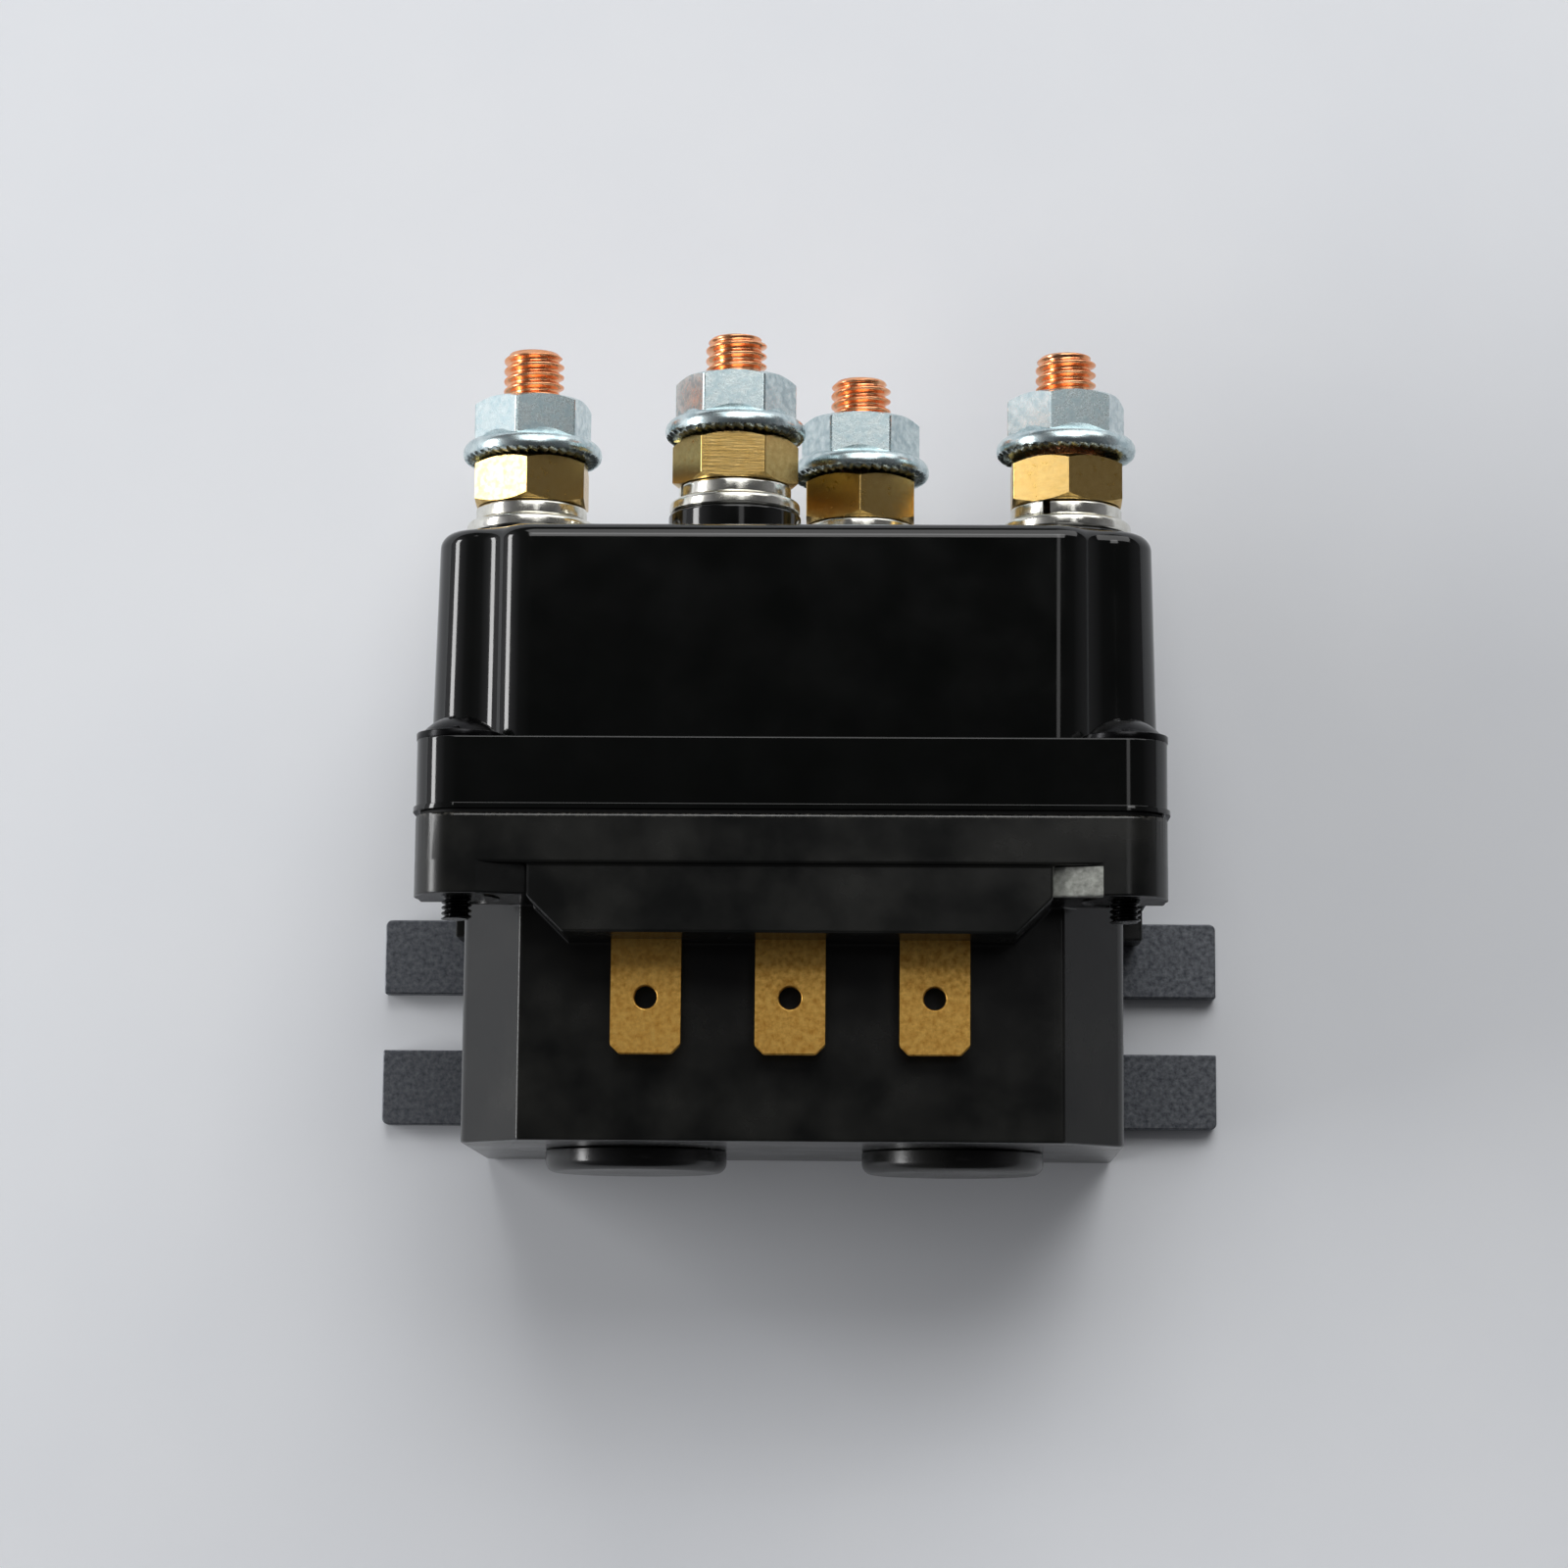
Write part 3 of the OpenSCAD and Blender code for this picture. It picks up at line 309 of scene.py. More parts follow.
def sharp_edges(bm, angle=28):
    return [e for e in bm.edges if e.is_manifold and e.calc_face_angle(0) > math.radians(angle)]


def whole(bm):
    return bm.verts[:] + bm.edges[:] + bm.faces[:]


def mirror(bm, axis, merge_dist):
    bmesh.ops.mirror(bm, geom=whole(bm), matrix=Matrix.Identity(4), merge_dist=merge_dist, axis=axis)


def cut_off(bm, place, way, dist=1e-6):
    """Takes away what lies beyond a plane and gives the edges of the cut."""
    cut = bmesh.ops.bisect_plane(bm, geom=whole(bm), dist=dist, plane_co=place, plane_no=way, clear_outer=True)
    return [g for g in cut["geom_cut"] if isinstance(g, bmesh.types.BMEdge)]


def join(bm, other):
    """Adds the other bmesh to this one."""
    mesh = bpy.data.meshes.new("joined")
    other.to_mesh(mesh)
    other.free()
    bm.from_mesh(mesh)
    bpy.data.meshes.remove(mesh)


# %% [markdown]
# ## Glossy cover
# The real cover is one compression moulding: a flange with a thin lip, and on it a case whose walls lean in a little
# so that it leaves the mould. At each corner the case gives way to a screw head in a hollow, whose wall runs into
# the case's faces over wide round lips. Those lips draw the bright strips in the photograph. One quarter of the
# moulding is drawn with arcs swung round upright axes, its loops are bridged, and it is mirrored twice. The round
# along the top of the case is a row of such loops too, each a little smaller and higher than the last.

# %% Outlines of the cover
FLANGE_X, FLANGE_Z, FLANGE_R, FLANGE_LIP = 33.6, 23.0, 4.0, 0.25
CASE_X, CASE_Z = 33.1, 17.0
ROOM_X, ROOM_Z, ROOM_CUT_X, ROOM_CUT_Z = 31.1, 15, 24.2, 11.4
SCREW_X, SCREW_Z, NOTCH_R, LIP_R = 29.8, 18.7, 4.3, 4.2
COVER_Y, LIP_Y, CASE_Y, CEILING_Y, TOP_Y = 15.4, 15.85, 21.9, 40.3, 42.7
DRAFT = 0.2
TOP_R, TOP_STEPS = 1.5, 9
COLLAR_R, COLLAR_SUNK = 6.25, 0.4


def swing(bm, corner, x, z, degrees, steps):
    """Carries a corner round the upright axis at x, z, which draws an arc, and gives its last place."""
    arc = bmesh.ops.spin(bm, geom=[corner], cent=(x, 0, z), axis=UP, dvec=(0, 0, 0),
                         angle=math.radians(degrees), steps=steps)
    return arc["geom_last"][0]


def line_to(bm, corner, x, z):
    end = bm.verts.new((x, corner.co.y, z))
    bm.edges.new((corner, end))
    return end


def new_wire(bm, before):
    return [e for e in bm.edges if e not in before]


def flange_outline(bm, y, grow):
    """A quarter of a rounded rectangle, from the middle of its front to the middle of its side."""
    before = set(bm.edges)
    r = FLANGE_R + grow
    corner = line_to(bm, bm.verts.new((0, y, FLANGE_Z + grow)), FLANGE_X + grow - r, FLANGE_Z + grow)
    corner = swing(bm, corner, FLANGE_X + grow - r, FLANGE_Z + grow - r, 90, 16)
    line_to(bm, corner, FLANGE_X + grow, 0)
    return new_wire(bm, before)


def case_outline(bm, y, lean, inset=0.0):
    """A quarter of the case: front, round lip, hollow, round lip, side. The inset draws it smaller all round."""
    before = set(bm.edges)
    face_x, face_z = CASE_X - lean - inset, CASE_Z - lean - inset
    hollow, lip = NOTCH_R + 0.5 * lean + inset, LIP_R - inset
    reach = hollow + lip
    front_z, side_x = face_z - lip, face_x - lip
    front_x = SCREW_X - math.sqrt(reach ** 2 - (SCREW_Z - front_z) ** 2)
    side_z = SCREW_Z - math.sqrt(reach ** 2 - (SCREW_X - side_x) ** 2)
    front_turn = math.degrees(math.atan2(SCREW_X - front_x, SCREW_Z - front_z))
    side_turn = math.degrees(math.atan2(SCREW_X - side_x, SCREW_Z - side_z))
    corner = line_to(bm, bm.verts.new((0, y, face_z)), front_x, face_z)
    corner = swing(bm, corner, front_x, front_z, front_turn, 20)
    corner = swing(bm, corner, SCREW_X, SCREW_Z, -(front_turn - side_turn), 24)
    corner = swing(bm, corner, side_x, side_z, 90 - side_turn, 30)
    line_to(bm, corner, face_x, 0)
    return new_wire(bm, before)


def hollow_outline(bm, y):
    """A quarter of the space inside, whose corner is cut off behind the hollow of the screw."""
    before = set(bm.edges)
    corner = line_to(bm, bm.verts.new((0, y, ROOM_Z)), ROOM_CUT_X, ROOM_Z)
    corner = line_to(bm, corner, ROOM_X, ROOM_CUT_Z)
    line_to(bm, corner, ROOM_X, 0)
    return new_wire(bm, before)


def ends(wire):
    """The wire's end at the front, where x is 0, and its end at the side, where z is 0."""
    places = [v for e in wire for v in e.verts]
    front = min(places, key=lambda v: (abs(v.co.x), -abs(v.co.z)))
    side = min(places, key=lambda v: (abs(v.co.z), -abs(v.co.x)))
    return front, side


def close_between(bm, wire, other=None):
    """Fills the level face between two quarter wires, or between one and the middle."""
    front, side = ends(wire)
    if other:
        closing = [bm.edges.new((front, ends(other)[0])), bm.edges.new((side, ends(other)[1]))]
    else:
        middle = bm.verts.new((0, front.co.y, 0))
        closing = [bm.edges.new((front, middle)), bm.edges.new((middle, side))]
    bmesh.ops.edgeloop_fill(bm, edges=wire + (other or []) + closing)


# %% Cover moulding
bm = bmesh.new()
levels = [flange_outline(bm, COVER_Y, FLANGE_LIP), flange_outline(bm, LIP_Y, FLANGE_LIP),
          flange_outline(bm, LIP_Y + 0.02, 0), flange_outline(bm, CASE_Y, 0)]
walls = [case_outline(bm, CASE_Y, -DRAFT)]
for k in range(TOP_STEPS + 1):
    a = math.radians(90 * k / TOP_STEPS)
    walls.append(case_outline(bm, TOP_Y - TOP_R * (1 - math.sin(a)), DRAFT, TOP_R * (1 - math.cos(a))))
mouth, ceiling = hollow_outline(bm, COVER_Y), hollow_outline(bm, CEILING_Y)
for lower, upper in [*zip(levels, levels[1:]), *zip(walls, walls[1:]), (mouth, ceiling)]:
    bmesh.ops.bridge_loops(bm, edges=lower + upper)
close_between(bm, levels[-1], walls[0])
close_between(bm, levels[0], mouth)
close_between(bm, walls[-1])
close_between(bm, ceiling)
for axis in "XZ":
    mirror(bm, axis, 1e-4)
bmesh.ops.recalc_face_normals(bm, faces=bm.faces)
print("cover open edges", sum(not e.is_manifold for e in bm.edges))


def level_edges(bm, y, chosen=lambda co: True):
    """Sharp edges at this height whose ends are both chosen."""
    return [e for e in sharp_edges(bm, 40) if all(abs(v.co.y - y) < 0.01 and chosen(v.co) for v in e.verts)]


def on_flange(co):
    return abs(co.z) > 22 or abs(co.x) > 33.4


round_off(bm, level_edges(bm, CASE_Y, on_flange), 0.15, 3)
round_off(bm, level_edges(bm, LIP_Y), 0.05, 2)
for side in STUDS:
    x, z, washer_y, _ = middle("flat_washer_" + side)
    centre = Matrix.Translation((x, (washer_y + TOP_Y - COLLAR_SUNK) / 2, z - FLANGE_Z))
    collar = bmesh.new()
    bmesh.ops.create_cone(collar, cap_ends=True, segments=96, radius1=COLLAR_R, radius2=COLLAR_R,
                          depth=washer_y - TOP_Y + COLLAR_SUNK,
                          matrix=centre @ Matrix.Rotation(math.radians(-90), 4, "X"))
    round_off(collar, [e for e in collar.edges if all(v.co.y > washer_y - 0.01 for v in e.verts)], 0.3, 4)
    join(bm, collar)
for v in bm.verts:
    v.co.z = max(v.co.z, -FLANGE_Z)  # the lip doesn't stand out at the back, where the cover lies on the table
bmesh.ops.translate(bm, vec=(0, 0, FLANGE_Z), verts=bm.verts)
cover = piece(bm, "top_cover")
print("cover faces", len(cover.data.polygons))

# %% [markdown]
# ## Coil housing, plate and tabs
# These pieces have flat faces, so the CAD shape is right but for its edges: no real edge is quite sharp, and it is
# the tiny round that catches the light. The CAD mesh is copied and merged, and its outer edges are bevelled, each
# by what its process leaves: 0.25 mm in a moulding, and less along the sheared edge of a stamping. Only the housing's
# two front bosses get a new outline: they end flush with the flange, and a ramp joins each to the skirt.

# %% Softened edges
def soft_copy(node, width, chosen=lambda co: True, segments=3):
    bm = merged_copy(node)
    edges = [e for e in sharp_edges(bm) if all(chosen(v.co) for v in e.verts)]
    round_off(bm, edges, width, segments)
    return bm


def soften(node, width, chosen=lambda co: True, segments=3):
    piece(soft_copy(node, width, chosen, segments), node)


def outside_housing(co):
    """Leaves out the rooms of the coils, the seat of the contact deck and the thin ledge behind it."""
    inside = abs(co.x) < 28.6 and co.y > -11.8 and 3.9 < co.z < 34.4
    deck_seat = co.y > 10.6 and abs(co.x) < 33.3 and 0.5 < co.z < 45.4
    thin_ledge = co.z < 2.5 and co.y > 9
    return not (inside or deck_seat or thin_ledge)


EAR_LOW, EAR_HIGH = 7.83, 10.83
EAR_FRONT_Z, EAR_SIDE_X, EAR_BACK_Z = 46.01, 33.61, 41.0
RAMP_FOOT_X, RAMP_FOOT_Z, RAMP_TOP_X = 22.8, 44.6, 27.7
BOSS_X, BOSS_Z = 29.8, 41.7


def front_ears(bm):
    """The front bosses: flush with the flange, and a ramp that falls back to the skirt."""
    ear = bmesh.new()
    corner = line_to(ear, ear.verts.new((RAMP_FOOT_X, EAR_LOW, EAR_BACK_Z)), RAMP_FOOT_X, RAMP_FOOT_Z)
    corner = line_to(ear, corner, RAMP_TOP_X, EAR_FRONT_Z)
    corner = swing(ear, line_to(ear, corner, 29.6, EAR_FRONT_Z), 29.6, 42, 90, 16)
    corner = swing(ear, line_to(ear, corner, EAR_SIDE_X, BOSS_Z), BOSS_X, BOSS_Z, 180, 24)
    line_to(ear, corner, RAMP_FOOT_X, EAR_BACK_Z)
    bmesh.ops.remove_doubles(ear, verts=ear.verts, dist=1e-4)
    face = bmesh.ops.edgeloop_fill(ear, edges=ear.edges[:])["faces"]
    grown = bmesh.ops.extrude_face_region(ear, geom=face)["geom"]
    bmesh.ops.translate(ear, vec=(0, EAR_HIGH - EAR_LOW, 0),
                        verts=[g for g in grown if isinstance(g, bmesh.types.BMVert)])
    bmesh.ops.recalc_face_normals(ear, faces=ear.faces)
    round_off(ear, [e for e in ear.edges if all(v.co.y < EAR_LOW + 0.01 and v.co.z > 42 for v in e.verts)], 0.2, 3)
    mirror(ear, "X", 0)
    join(bm, ear)


bm = soft_copy("base_housing", 0.25, outside_housing)
front_ears(bm)
piece(bm, "base_housing", 12)
soften("mounting_plate", 0.15)
for side in ("left", "middle", "right"):
    soften("spade_" + side, 0.16, lambda co: co.y < 8 and co.z > 38)
soften("gasket", 0.1)

# %% [markdown]
# ## Turned pieces
# Washers, caps and nuts are turned about the axis of what they sit on. Each starts as its half section, drawn as a
# wire whose corners are rounded, and is spun through a full turn. A section that starts and ends on the axis makes
# a solid, and one that closes on itself makes a ring.

# %% Lathe
def section(bm, points, x, z, ring=False, rounds=()):
    """Draws a half section of (radius, height) points and rounds the named corners by their widths."""
    corners = [bm.verts.new((x + r, y, z)) for r, y in points]
    pairs = list(zip(corners, corners[1:])) + ([(corners[-1], corners[0])] if ring else [])
    for pair in pairs:
        bm.edges.new(pair)
    for index, width in dict(rounds).items():
        bmesh.ops.bevel(bm, geom=[corners[index]], offset=width, offset_type="OFFSET", affect="VERTICES", segments=6,
                        profile=0.5, material=-1, clamp_overlap=False)


def turn_full(bm, x, z, steps=96):
    bmesh.ops.spin(bm, geom=bm.verts[:] + bm.edges[:], cent=(x, 0, z), axis=UP, dvec=(0, 0, 0), angle=math.tau,
                   steps=steps, use_merge=True)
    bmesh.ops.remove_doubles(bm, verts=bm.verts, dist=1e-4)
    bmesh.ops.recalc_face_normals(bm, faces=bm.faces)


# %% Flat washers and coil caps
STUD_BORE, FLAT_WASHER_R = 3.1, 6.15
CAP_R, CAP_NECK_R, CAP_RIM = 8.55, 7.2, 2.1
for side in STUDS:
    x, z, y0, y1 = middle("flat_washer_" + side)
    bm = bmesh.new()
    section(bm, [(STUD_BORE, y0), (FLAT_WASHER_R, y0), (FLAT_WASHER_R, y1), (STUD_BORE, y1)], x, z, True,
            {1: 0.35, 2: 0.5})
    turn_full(bm, x, z)
    piece(bm, "flat_washer_" + side)

for side in ("left", "right"):
    x, z, y0, y1 = middle("end_cap_" + side)
    bm = bmesh.new()
    rim_y = y0 + CAP_RIM
    section(bm, [(0, y0), (CAP_R, y0), (CAP_R, rim_y), (CAP_NECK_R, rim_y), (CAP_NECK_R, y1), (0, y1)], x, z,
            rounds={1: 1.0, 2: 0.2, 4: 0.3})
    turn_full(bm, x, z)
    piece(bm, "end_cap_" + side)


# %% [markdown]
# ## Nuts
# A nut is turned from hexagon bar: the lathe takes its corners off at 30 degrees, which leaves the curved lines
# over each flat. Here a round blank with those chamfers is turned first and its six flats are cut afterwards, so
# that the same curved lines come from the same two cuts. The flange of the zinc nuts is turned as one with a soft
# fillet, and its underside is notched with teeth that bite so that the nut doesn't work loose.

# %% Hexagon blank
NUT_BORE = 2.6
CHAMFER = math.tan(math.radians(30))


def flat_angle(node, flat):
    """How far the hexagon is turned about its axis, read from the CAD node: the way from the axis to a flat."""
    x, z, *_ = middle(node)
    axis = Vector((x, 0, z)) * MM
    flats = [p for p in nodes[node].data.polygons
             if abs(p.normal.y) < 0.01 and abs((p.center - axis).dot(p.normal) / MM - flat) < 0.03]
    near = max(flats, key=lambda p: p.area)
    return math.degrees(math.atan2(near.normal.z, near.normal.x)) % 60


def hexagon_blank(node, points, flat, edge):
    """Turns the half section round, cuts six flats at this distance and softens the upright edges between them."""
    x, z, *_ = middle(node)
    bm = bmesh.new()
    section(bm, points, x, z, True)
    turn_full(bm, x, z, 144)
    turned = flat_angle(node, flat)
    for k in range(6):
        a = math.radians(turned + 60 * k)
        out = Vector((math.cos(a), 0, math.sin(a)))
        bmesh.ops.edgeloop_fill(bm, edges=cut_off(bm, Vector((x, 0, z)) + out * flat, out, 1e-5))
    bmesh.ops.recalc_face_normals(bm, faces=bm.faces)
    upright = [e for e in sharp_edges(bm, 40) if abs(e.verts[0].co.y - e.verts[1].co.y) > 1]
    round_off(bm, upright, edge, 3)
    print(node, "flat at", round(turned, 1), "degrees")
    return bm


# %% Brass nuts
for side in STUDS:
    node = "brass_nut_" + side
    x, z, y0, y1 = middle(node)
    corner, flat = 6.05, 5.2
    fall = (corner - flat) * CHAMFER
    bm = hexagon_blank(node, [(NUT_BORE, y0), (flat, y0), (corner, y0 + fall), (corner, y1 - fall), (flat, y1),
                              (NUT_BORE, y1)], flat, 0.14)
    piece(bm, node, 20)

# %% Flange nuts
TEETH, TOOTH, TOOTH_STEPS = 40, 0.22, 4
for side in STUDS:
    node = "flange_nut_" + side
    x, z, y0, y1 = middle(node)
    corner, flat, rim_r = 5.82, 5.0, 6.65
    fall = (corner - flat) * CHAMFER
    bm = hexagon_blank(node, [(NUT_BORE, y0 + 1), (corner, y0 + 1), (corner, y1 - fall), (flat, y1),
                              (NUT_BORE + 0.5, y1), (NUT_BORE, y1 - 0.5)], flat, 0.2)
    rim = bmesh.new()
    section(rim, [(NUT_BORE, y0 + 0.3), (4.4, y0), (rim_r, y0), (rim_r, y0 + 1.95), (5.5, y0 + 2.0),
                  (4.6, y0 + 3.1), (NUT_BORE, y0 + 3.1)], x, z, True, {2: 0.8, 3: 1.0, 4: 0.5})
    turn_full(rim, x, z, TOOTH_STEPS * TEETH)
    for v in rim.verts:
        reach = math.hypot(v.co.x - x, v.co.z - z)
        if v.co.y < y0 + 0.3 and 4.2 < reach < rim_r - 0.2:
            step = round(math.atan2(v.co.z - z, v.co.x - x) / math.tau * TOOTH_STEPS * TEETH) % TOOTH_STEPS
            v.co.y += TOOTH * step / (TOOTH_STEPS - 1)
    join(bm, rim)
    piece(bm, node, 30)

# %% [markdown]
# ## Spring washers
# A spring washer is a length of steel wire with an almost square section, wound into one turn and cut, so its two
# ends stand a little apart. The section is swept round with a small rise and its ends are closed.

# %% Spring washers
SPLIT = {"left": 150, "mid_left": 205, "mid_right": 100, "right": 251}  # where each ring is cut, in degrees
SPRING_WASHER_R, WASHER_RISE, WASHER_STEPS = 5.3, 0.1, 88
for side in STUDS:
    *_, y0, y1 = middle("spring_washer_" + side)
    x, z, *_ = middle("brass_nut_" + side)
    top = y1 - WASHER_RISE
    bm = bmesh.new()
    section(bm, [(STUD_BORE, y0), (SPRING_WASHER_R, y0), (SPRING_WASHER_R, top), (STUD_BORE, top)], x, z, True,
            {0: 0.2, 1: 0.3, 2: 0.3, 3: 0.2})
    bmesh.ops.rotate(bm, verts=bm.verts, cent=(x, 0, z), matrix=Matrix.Rotation(math.radians(SPLIT[side]), 3, "Y"))
    bmesh.ops.spin(bm, geom=bm.verts[:] + bm.edges[:], cent=(x, 0, z), axis=UP,
                   dvec=(0, WASHER_RISE / WASHER_STEPS, 0), angle=math.radians(352), steps=WASHER_STEPS)
    bmesh.ops.holes_fill(bm, edges=[e for e in bm.edges if e.is_boundary], sides=0)
    piece(bm, "spring_washer_" + side)


# %% [markdown]
# ## Threaded studs
# The studs are copper rods with a rolled metric thread, 1 mm from crest to crest. One pitch of the thread's outline
# is swept round the axis while it climbs by a pitch a turn, and the turns merge to one surface. Two level cuts trim
# it, and the tip is turned down to a small chamfer. The plain part below the washers is kept from the CAD model.

# %% Thread
def rolled_thread(x, z, low, high, crest, root, pitch, tip, steps=48, first=0):
    """A right-handed thread between two heights, with rounded crests and roots and a chamfered tip."""
    bm = bmesh.new()
    depth = crest - root
    wave = [(0, 0), (0.1, 0.03), (0.19, 0.25), (0.34, 0.78), (0.42, 0.96), (0.5, 1), (0.58, 0.96), (0.66, 0.78),
            (0.81, 0.25), (0.9, 0.03), (1, 0)]
    section(bm, [(root + depth * out, low - pitch + pitch * up) for up, out in wave], x, z)
    bmesh.ops.rotate(bm, verts=bm.verts, cent=(x, 0, z), matrix=Matrix.Rotation(math.radians(first), 3, "Y"))
    turns = math.ceil((high - low) / pitch) + 2
    bmesh.ops.spin(bm, geom=bm.verts[:] + bm.edges[:], cent=(x, 0, z), axis=UP, dvec=(0, pitch / steps, 0),
                   angle=math.tau * turns, steps=steps * turns)
    bmesh.ops.remove_doubles(bm, verts=bm.verts, dist=2e-3)
    for y, way in ((low, -1), (high, 1)):
        bmesh.ops.edgeloop_fill(bm, edges=cut_off(bm, (x, y, z), (0, way, 0)))
    for v in bm.verts:
        limit = crest - tip + (high - v.co.y)
        reach = math.hypot(v.co.x - x, v.co.z - z)
        if reach > limit:
            v.co.x, v.co.z = x + (v.co.x - x) * limit / reach, z + (v.co.z - z) * limit / reach
    return bm


# %% Studs
THREAD_START = {"left": 0, "mid_left": 90, "mid_right": 200, "right": 300}  # where each thread begins, in degrees
for side in STUDS:
    node = "stud_" + side
    x, z, _, top = middle(node)
    *_, washer_top = middle("flat_washer_" + side)
    bm = merged_copy(node)
    bmesh.ops.edgeloop_fill(bm, edges=cut_off(bm, (x, washer_top, z), UP))
    join(bm, rolled_thread(x, z, washer_top, top, crest=2.9, root=2.38, pitch=1.0, tip=0.55,
                           first=THREAD_START[side]))
    stud = piece(bm, node, 50)
    print(node, "faces", len(stud.data.polygons))

# %% [markdown]
# ## Cover screws
# Four black machine screws hold the cover. Their heads keep the CAD shape with softened edges, and the threaded
# ends that stick out under the flange get a fine thread, half a millimetre from crest to crest.

# %% Cover screws
SCREW_TIP_Y, SHANK_Y = 5.9, 13
bm = merged_copy("cover_screws")
round_off(bm, [e for e in sharp_edges(bm, 50) if all(v.co.y > 21 for v in e.verts)], 0.1, 2)
bmesh.ops.holes_fill(bm, edges=cut_off(bm, (0, SHANK_Y, 0), (0, -1, 0)), sides=0)
for x in (-BOSS_X, BOSS_X):
    for z in (4.3, BOSS_Z):
        join(bm, rolled_thread(x, z, SCREW_TIP_Y, SHANK_Y, crest=1.38, root=1.08, pitch=0.5, tip=0.3, steps=24))
piece(bm, "cover_screws")

# %% [markdown]
# ## Parts inside
# The coils, yokes, plungers, bars and bridges are hidden until the relay is opened, and they get the same care:
# softened stamped and turned edges, springs of round wire, and windings whose rows of wire show.

# %% Softened inner parts
EDGE = {"supply_bus": 0.15, "return_bus": 0.15, "outer_contact": 0.15, "contact_bridge": 0.15, "contact_deck": 0.1,
        "yoke": 0.12, "pole_plate": 0.12, "fixed_core": 0.2, "plunger": 0.2, "bobbin": 0.1, "push_rod": 0.1,
        "rod_clip": 0.08, "plate_screws": 0.08}
for node in nodes:
    for kind, width in EDGE.items():
        if node.startswith(kind):
            soften(node, width, segments=2)


# %% Springs
COIL_X, COIL_Z = 14.925, 18.2


def spring(node, mean_r, wire_r, turns):
    """A round wire wound up between the node's two ends, with half a nearly closed turn at each."""
    x, _, y0, y1 = middle(node)
    x, z = math.copysign(COIL_X, x), COIL_Z
    bm = bmesh.new()
    bmesh.ops.create_circle(bm, segments=14, radius=wire_r, matrix=Matrix.Translation((x + mean_r, y0 + wire_r, z)))
    climb = y1 - y0 - 2 * wire_r
    last = bm.verts[:] + bm.edges[:]
    for share, rise in ((0.5, 0.06), (turns - 1, 0.88), (0.5, 0.06)):
        steps = round(share * 40)
        swept = bmesh.ops.spin(bm, geom=last, cent=(x, 0, z), axis=UP, dvec=(0, climb * rise / steps, 0),
                               angle=math.tau * share, steps=steps)
        last = swept["geom_last"]
    bmesh.ops.holes_fill(bm, edges=[e for e in bm.edges if e.is_boundary], sides=0)
    return piece(bm, node, 60)


for side, travel in (("left", "left_plunger_slide"), ("right", "right_plunger_slide")):
    coil = spring("return_spring_" + side, 2.45, 0.4, 5)
    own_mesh(coil)
    contact = spring("contact_spring_" + side, 2.6, 0.4, 4)
    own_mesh(contact)

# %% Windings
WINDING_LOW, WINDING_HIGH, WINDING_R, WIRE = -8.8, 11.0, 11.125, 0.44
WIRE_BULGE, SLEEVE = 0.13, 0.6
ROWS = int((WINDING_HIGH - WINDING_LOW) / WIRE)
ROW = (WINDING_HIGH - WINDING_LOW) / ROWS
for side in ("left", "right"):
    node = "winding_" + side
    bm = merged_copy(node)
    x, z = math.copysign(COIL_X, extent(node)[0].x), COIL_Z
    valley, inner = WINDING_R - WIRE_BULGE, WINDING_R - SLEEVE
    wave = [(valley + WIRE_BULGE * math.sin(math.pi * k / 4), WINDING_LOW + (row + k / 4) * ROW)
            for row in range(ROWS) for k in range(4)]
    coil = bmesh.new()
    section(coil, [(inner, WINDING_LOW), *wave, (valley, WINDING_HIGH), (inner, WINDING_HIGH)], x, z, True)
    turn_full(coil, x, z)
    join(bm, coil)
    piece(bm, node, 60)

# %% [markdown]
# ## Table and lamps
# The photograph shows a strong soft lamp far to the left, which draws bright upright strips on the cover, a dim one
# just right of the lens, one beyond them that lights the nuts, and a wide one further beyond the studs, which throws
# the soft shadow below the relay. The room is dark overhead and paler at its sides, and this keeps the glossy front
# black. A lamp's power is worked out from how bright its face is.

# %% Table
TABLE_DROP, TABLE_HALF = 0.05 * MM, 3
table_mesh = bpy.data.meshes.new("table")
bm = bmesh.new()
bmesh.ops.create_grid(bm, x_segments=1, y_segments=1, size=TABLE_HALF,
                      matrix=Matrix.Translation((0, 0, -TABLE_DROP)))
bm.to_mesh(table_mesh)
bm.free()
table = bpy.data.objects.new("table", table_mesh)
bpy.context.scene.collection.objects.link(table)
table_paper, tree, shader, place = start("table_paper")
fibre = add(tree, "TexNoise", {"Vector": place, "Scale": per_mm(25), "Detail": 6})
tone = add(tree, "Mix", {"Factor": fibre.outputs["Fac"], "A": linear("#EFF2F7"), "B": linear("#F7F9FC")},
           data_type="RGBA")
feed(tree, shader, Base_Color=tone.outputs["Result"], Roughness=0.85)
table_mesh.materials.append(table_paper)


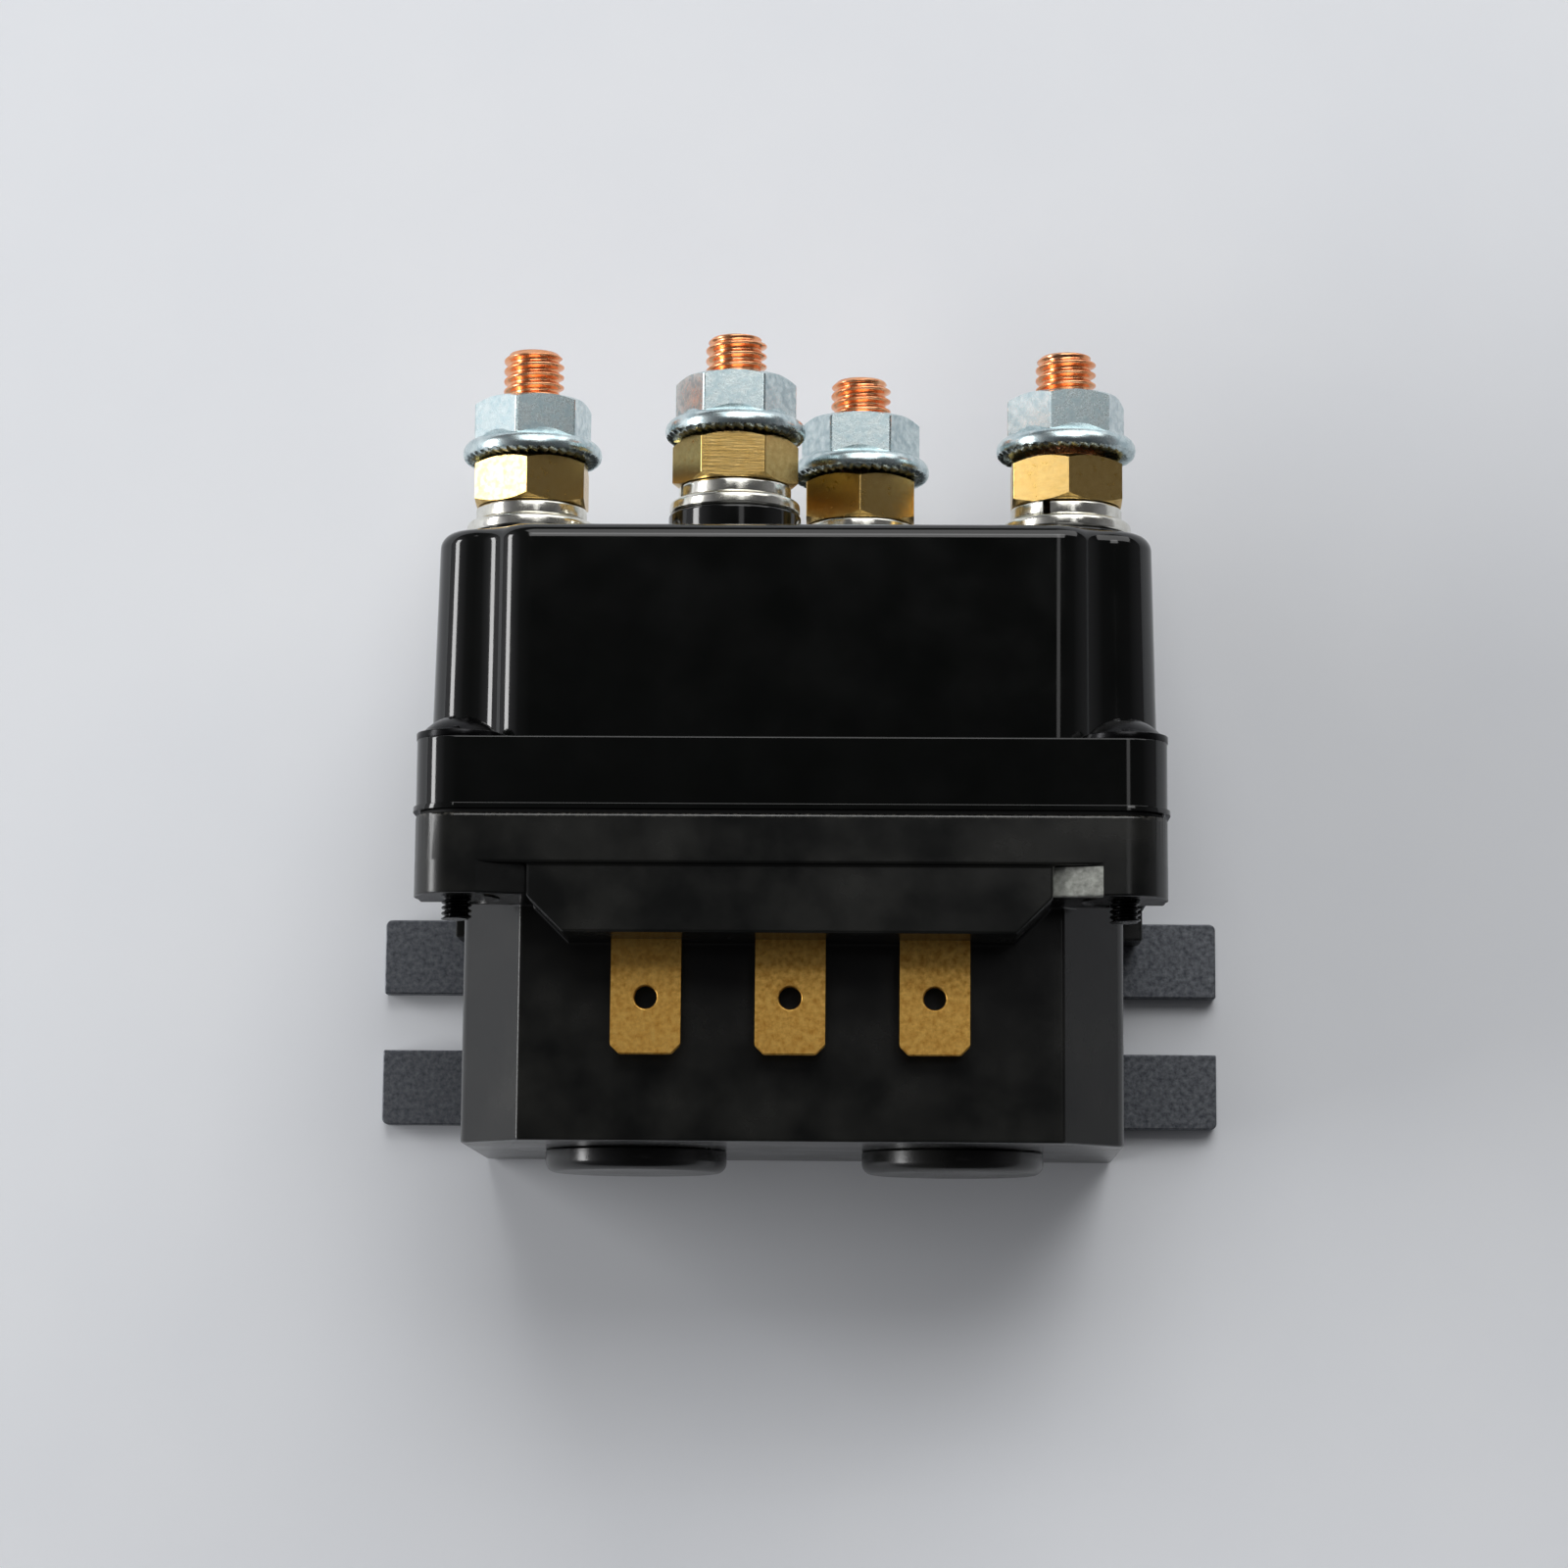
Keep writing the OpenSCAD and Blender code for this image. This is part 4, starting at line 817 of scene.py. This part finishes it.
# %% Lamps and room
AIM = Vector((0, 15, 20)) * MM
ROOM = ((0, 0.6), (0.2, 0.12), (0.5, 0.04), (0.88, 0.08), (1, 0.22))  # places from left to right, how bright each is
COOL = 1.05  # the room's light is a little blue


def soft_box(name, sideways, along, distance, width, height, radiance):
    """A lamp that stands this many degrees right of and beyond straight above the relay, and faces it."""
    lamp = bpy.data.lights.new(name, "AREA")
    lamp.shape, lamp.size, lamp.size_y = "RECTANGLE", width, height
    lamp.energy = math.pi * radiance * width * height
    obj = bpy.data.objects.new(name, lamp)
    bpy.context.scene.collection.objects.link(obj)
    a, b = math.radians(sideways), math.radians(along)
    way = Vector((math.sin(a) * math.cos(b), math.sin(b), math.cos(a) * math.cos(b)))
    across = UP.cross(way).normalized()
    obj.matrix_world = Matrix.Translation(AIM + way * distance) @ Matrix(
        (across, way.cross(across), way)).transposed().to_4x4()


soft_box("lamp_left", sideways=-69, along=5, distance=1.0, width=0.19, height=0.9, radiance=11)
soft_box("lamp_near_lens", sideways=13, along=22, distance=1.0, width=0.14, height=0.7, radiance=1.1)
soft_box("lamp_over_nuts", sideways=6, along=31, distance=1.0, width=0.75, height=0.4, radiance=2.7)
soft_box("lamp_beyond", sideways=27, along=55, distance=1.1, width=1.4, height=0.8, radiance=1.9)

world = bpy.data.worlds.new("room")
bpy.context.scene.world = world
world.use_nodes = True
tree = world.node_tree
tree.nodes.clear()
way_out = add(tree, "TexCoord").outputs["Generated"]
sideways = add(tree, "SeparateXYZ", {"Vector": way_out}).outputs["X"]
across_room = add(tree, "MapRange", {"Value": sideways, "From Min": -1, "From Max": 1})
glow = add(tree, "ValToRGB", {"Fac": across_room.outputs["Result"]})
stops = glow.color_ramp.elements
for place_across, _ in ROOM[1:-1]:
    stops.new(place_across)
for stop, (_, level) in zip(stops, ROOM):
    stop.color = (level, level, level * COOL, 1)
room = add(tree, "Background", {"Color": glow.outputs["Color"], "Strength": 1.0})
add(tree, "OutputWorld", {"Surface": room.outputs[0]})
bpy.context.scene.view_settings.view_transform = "Standard"
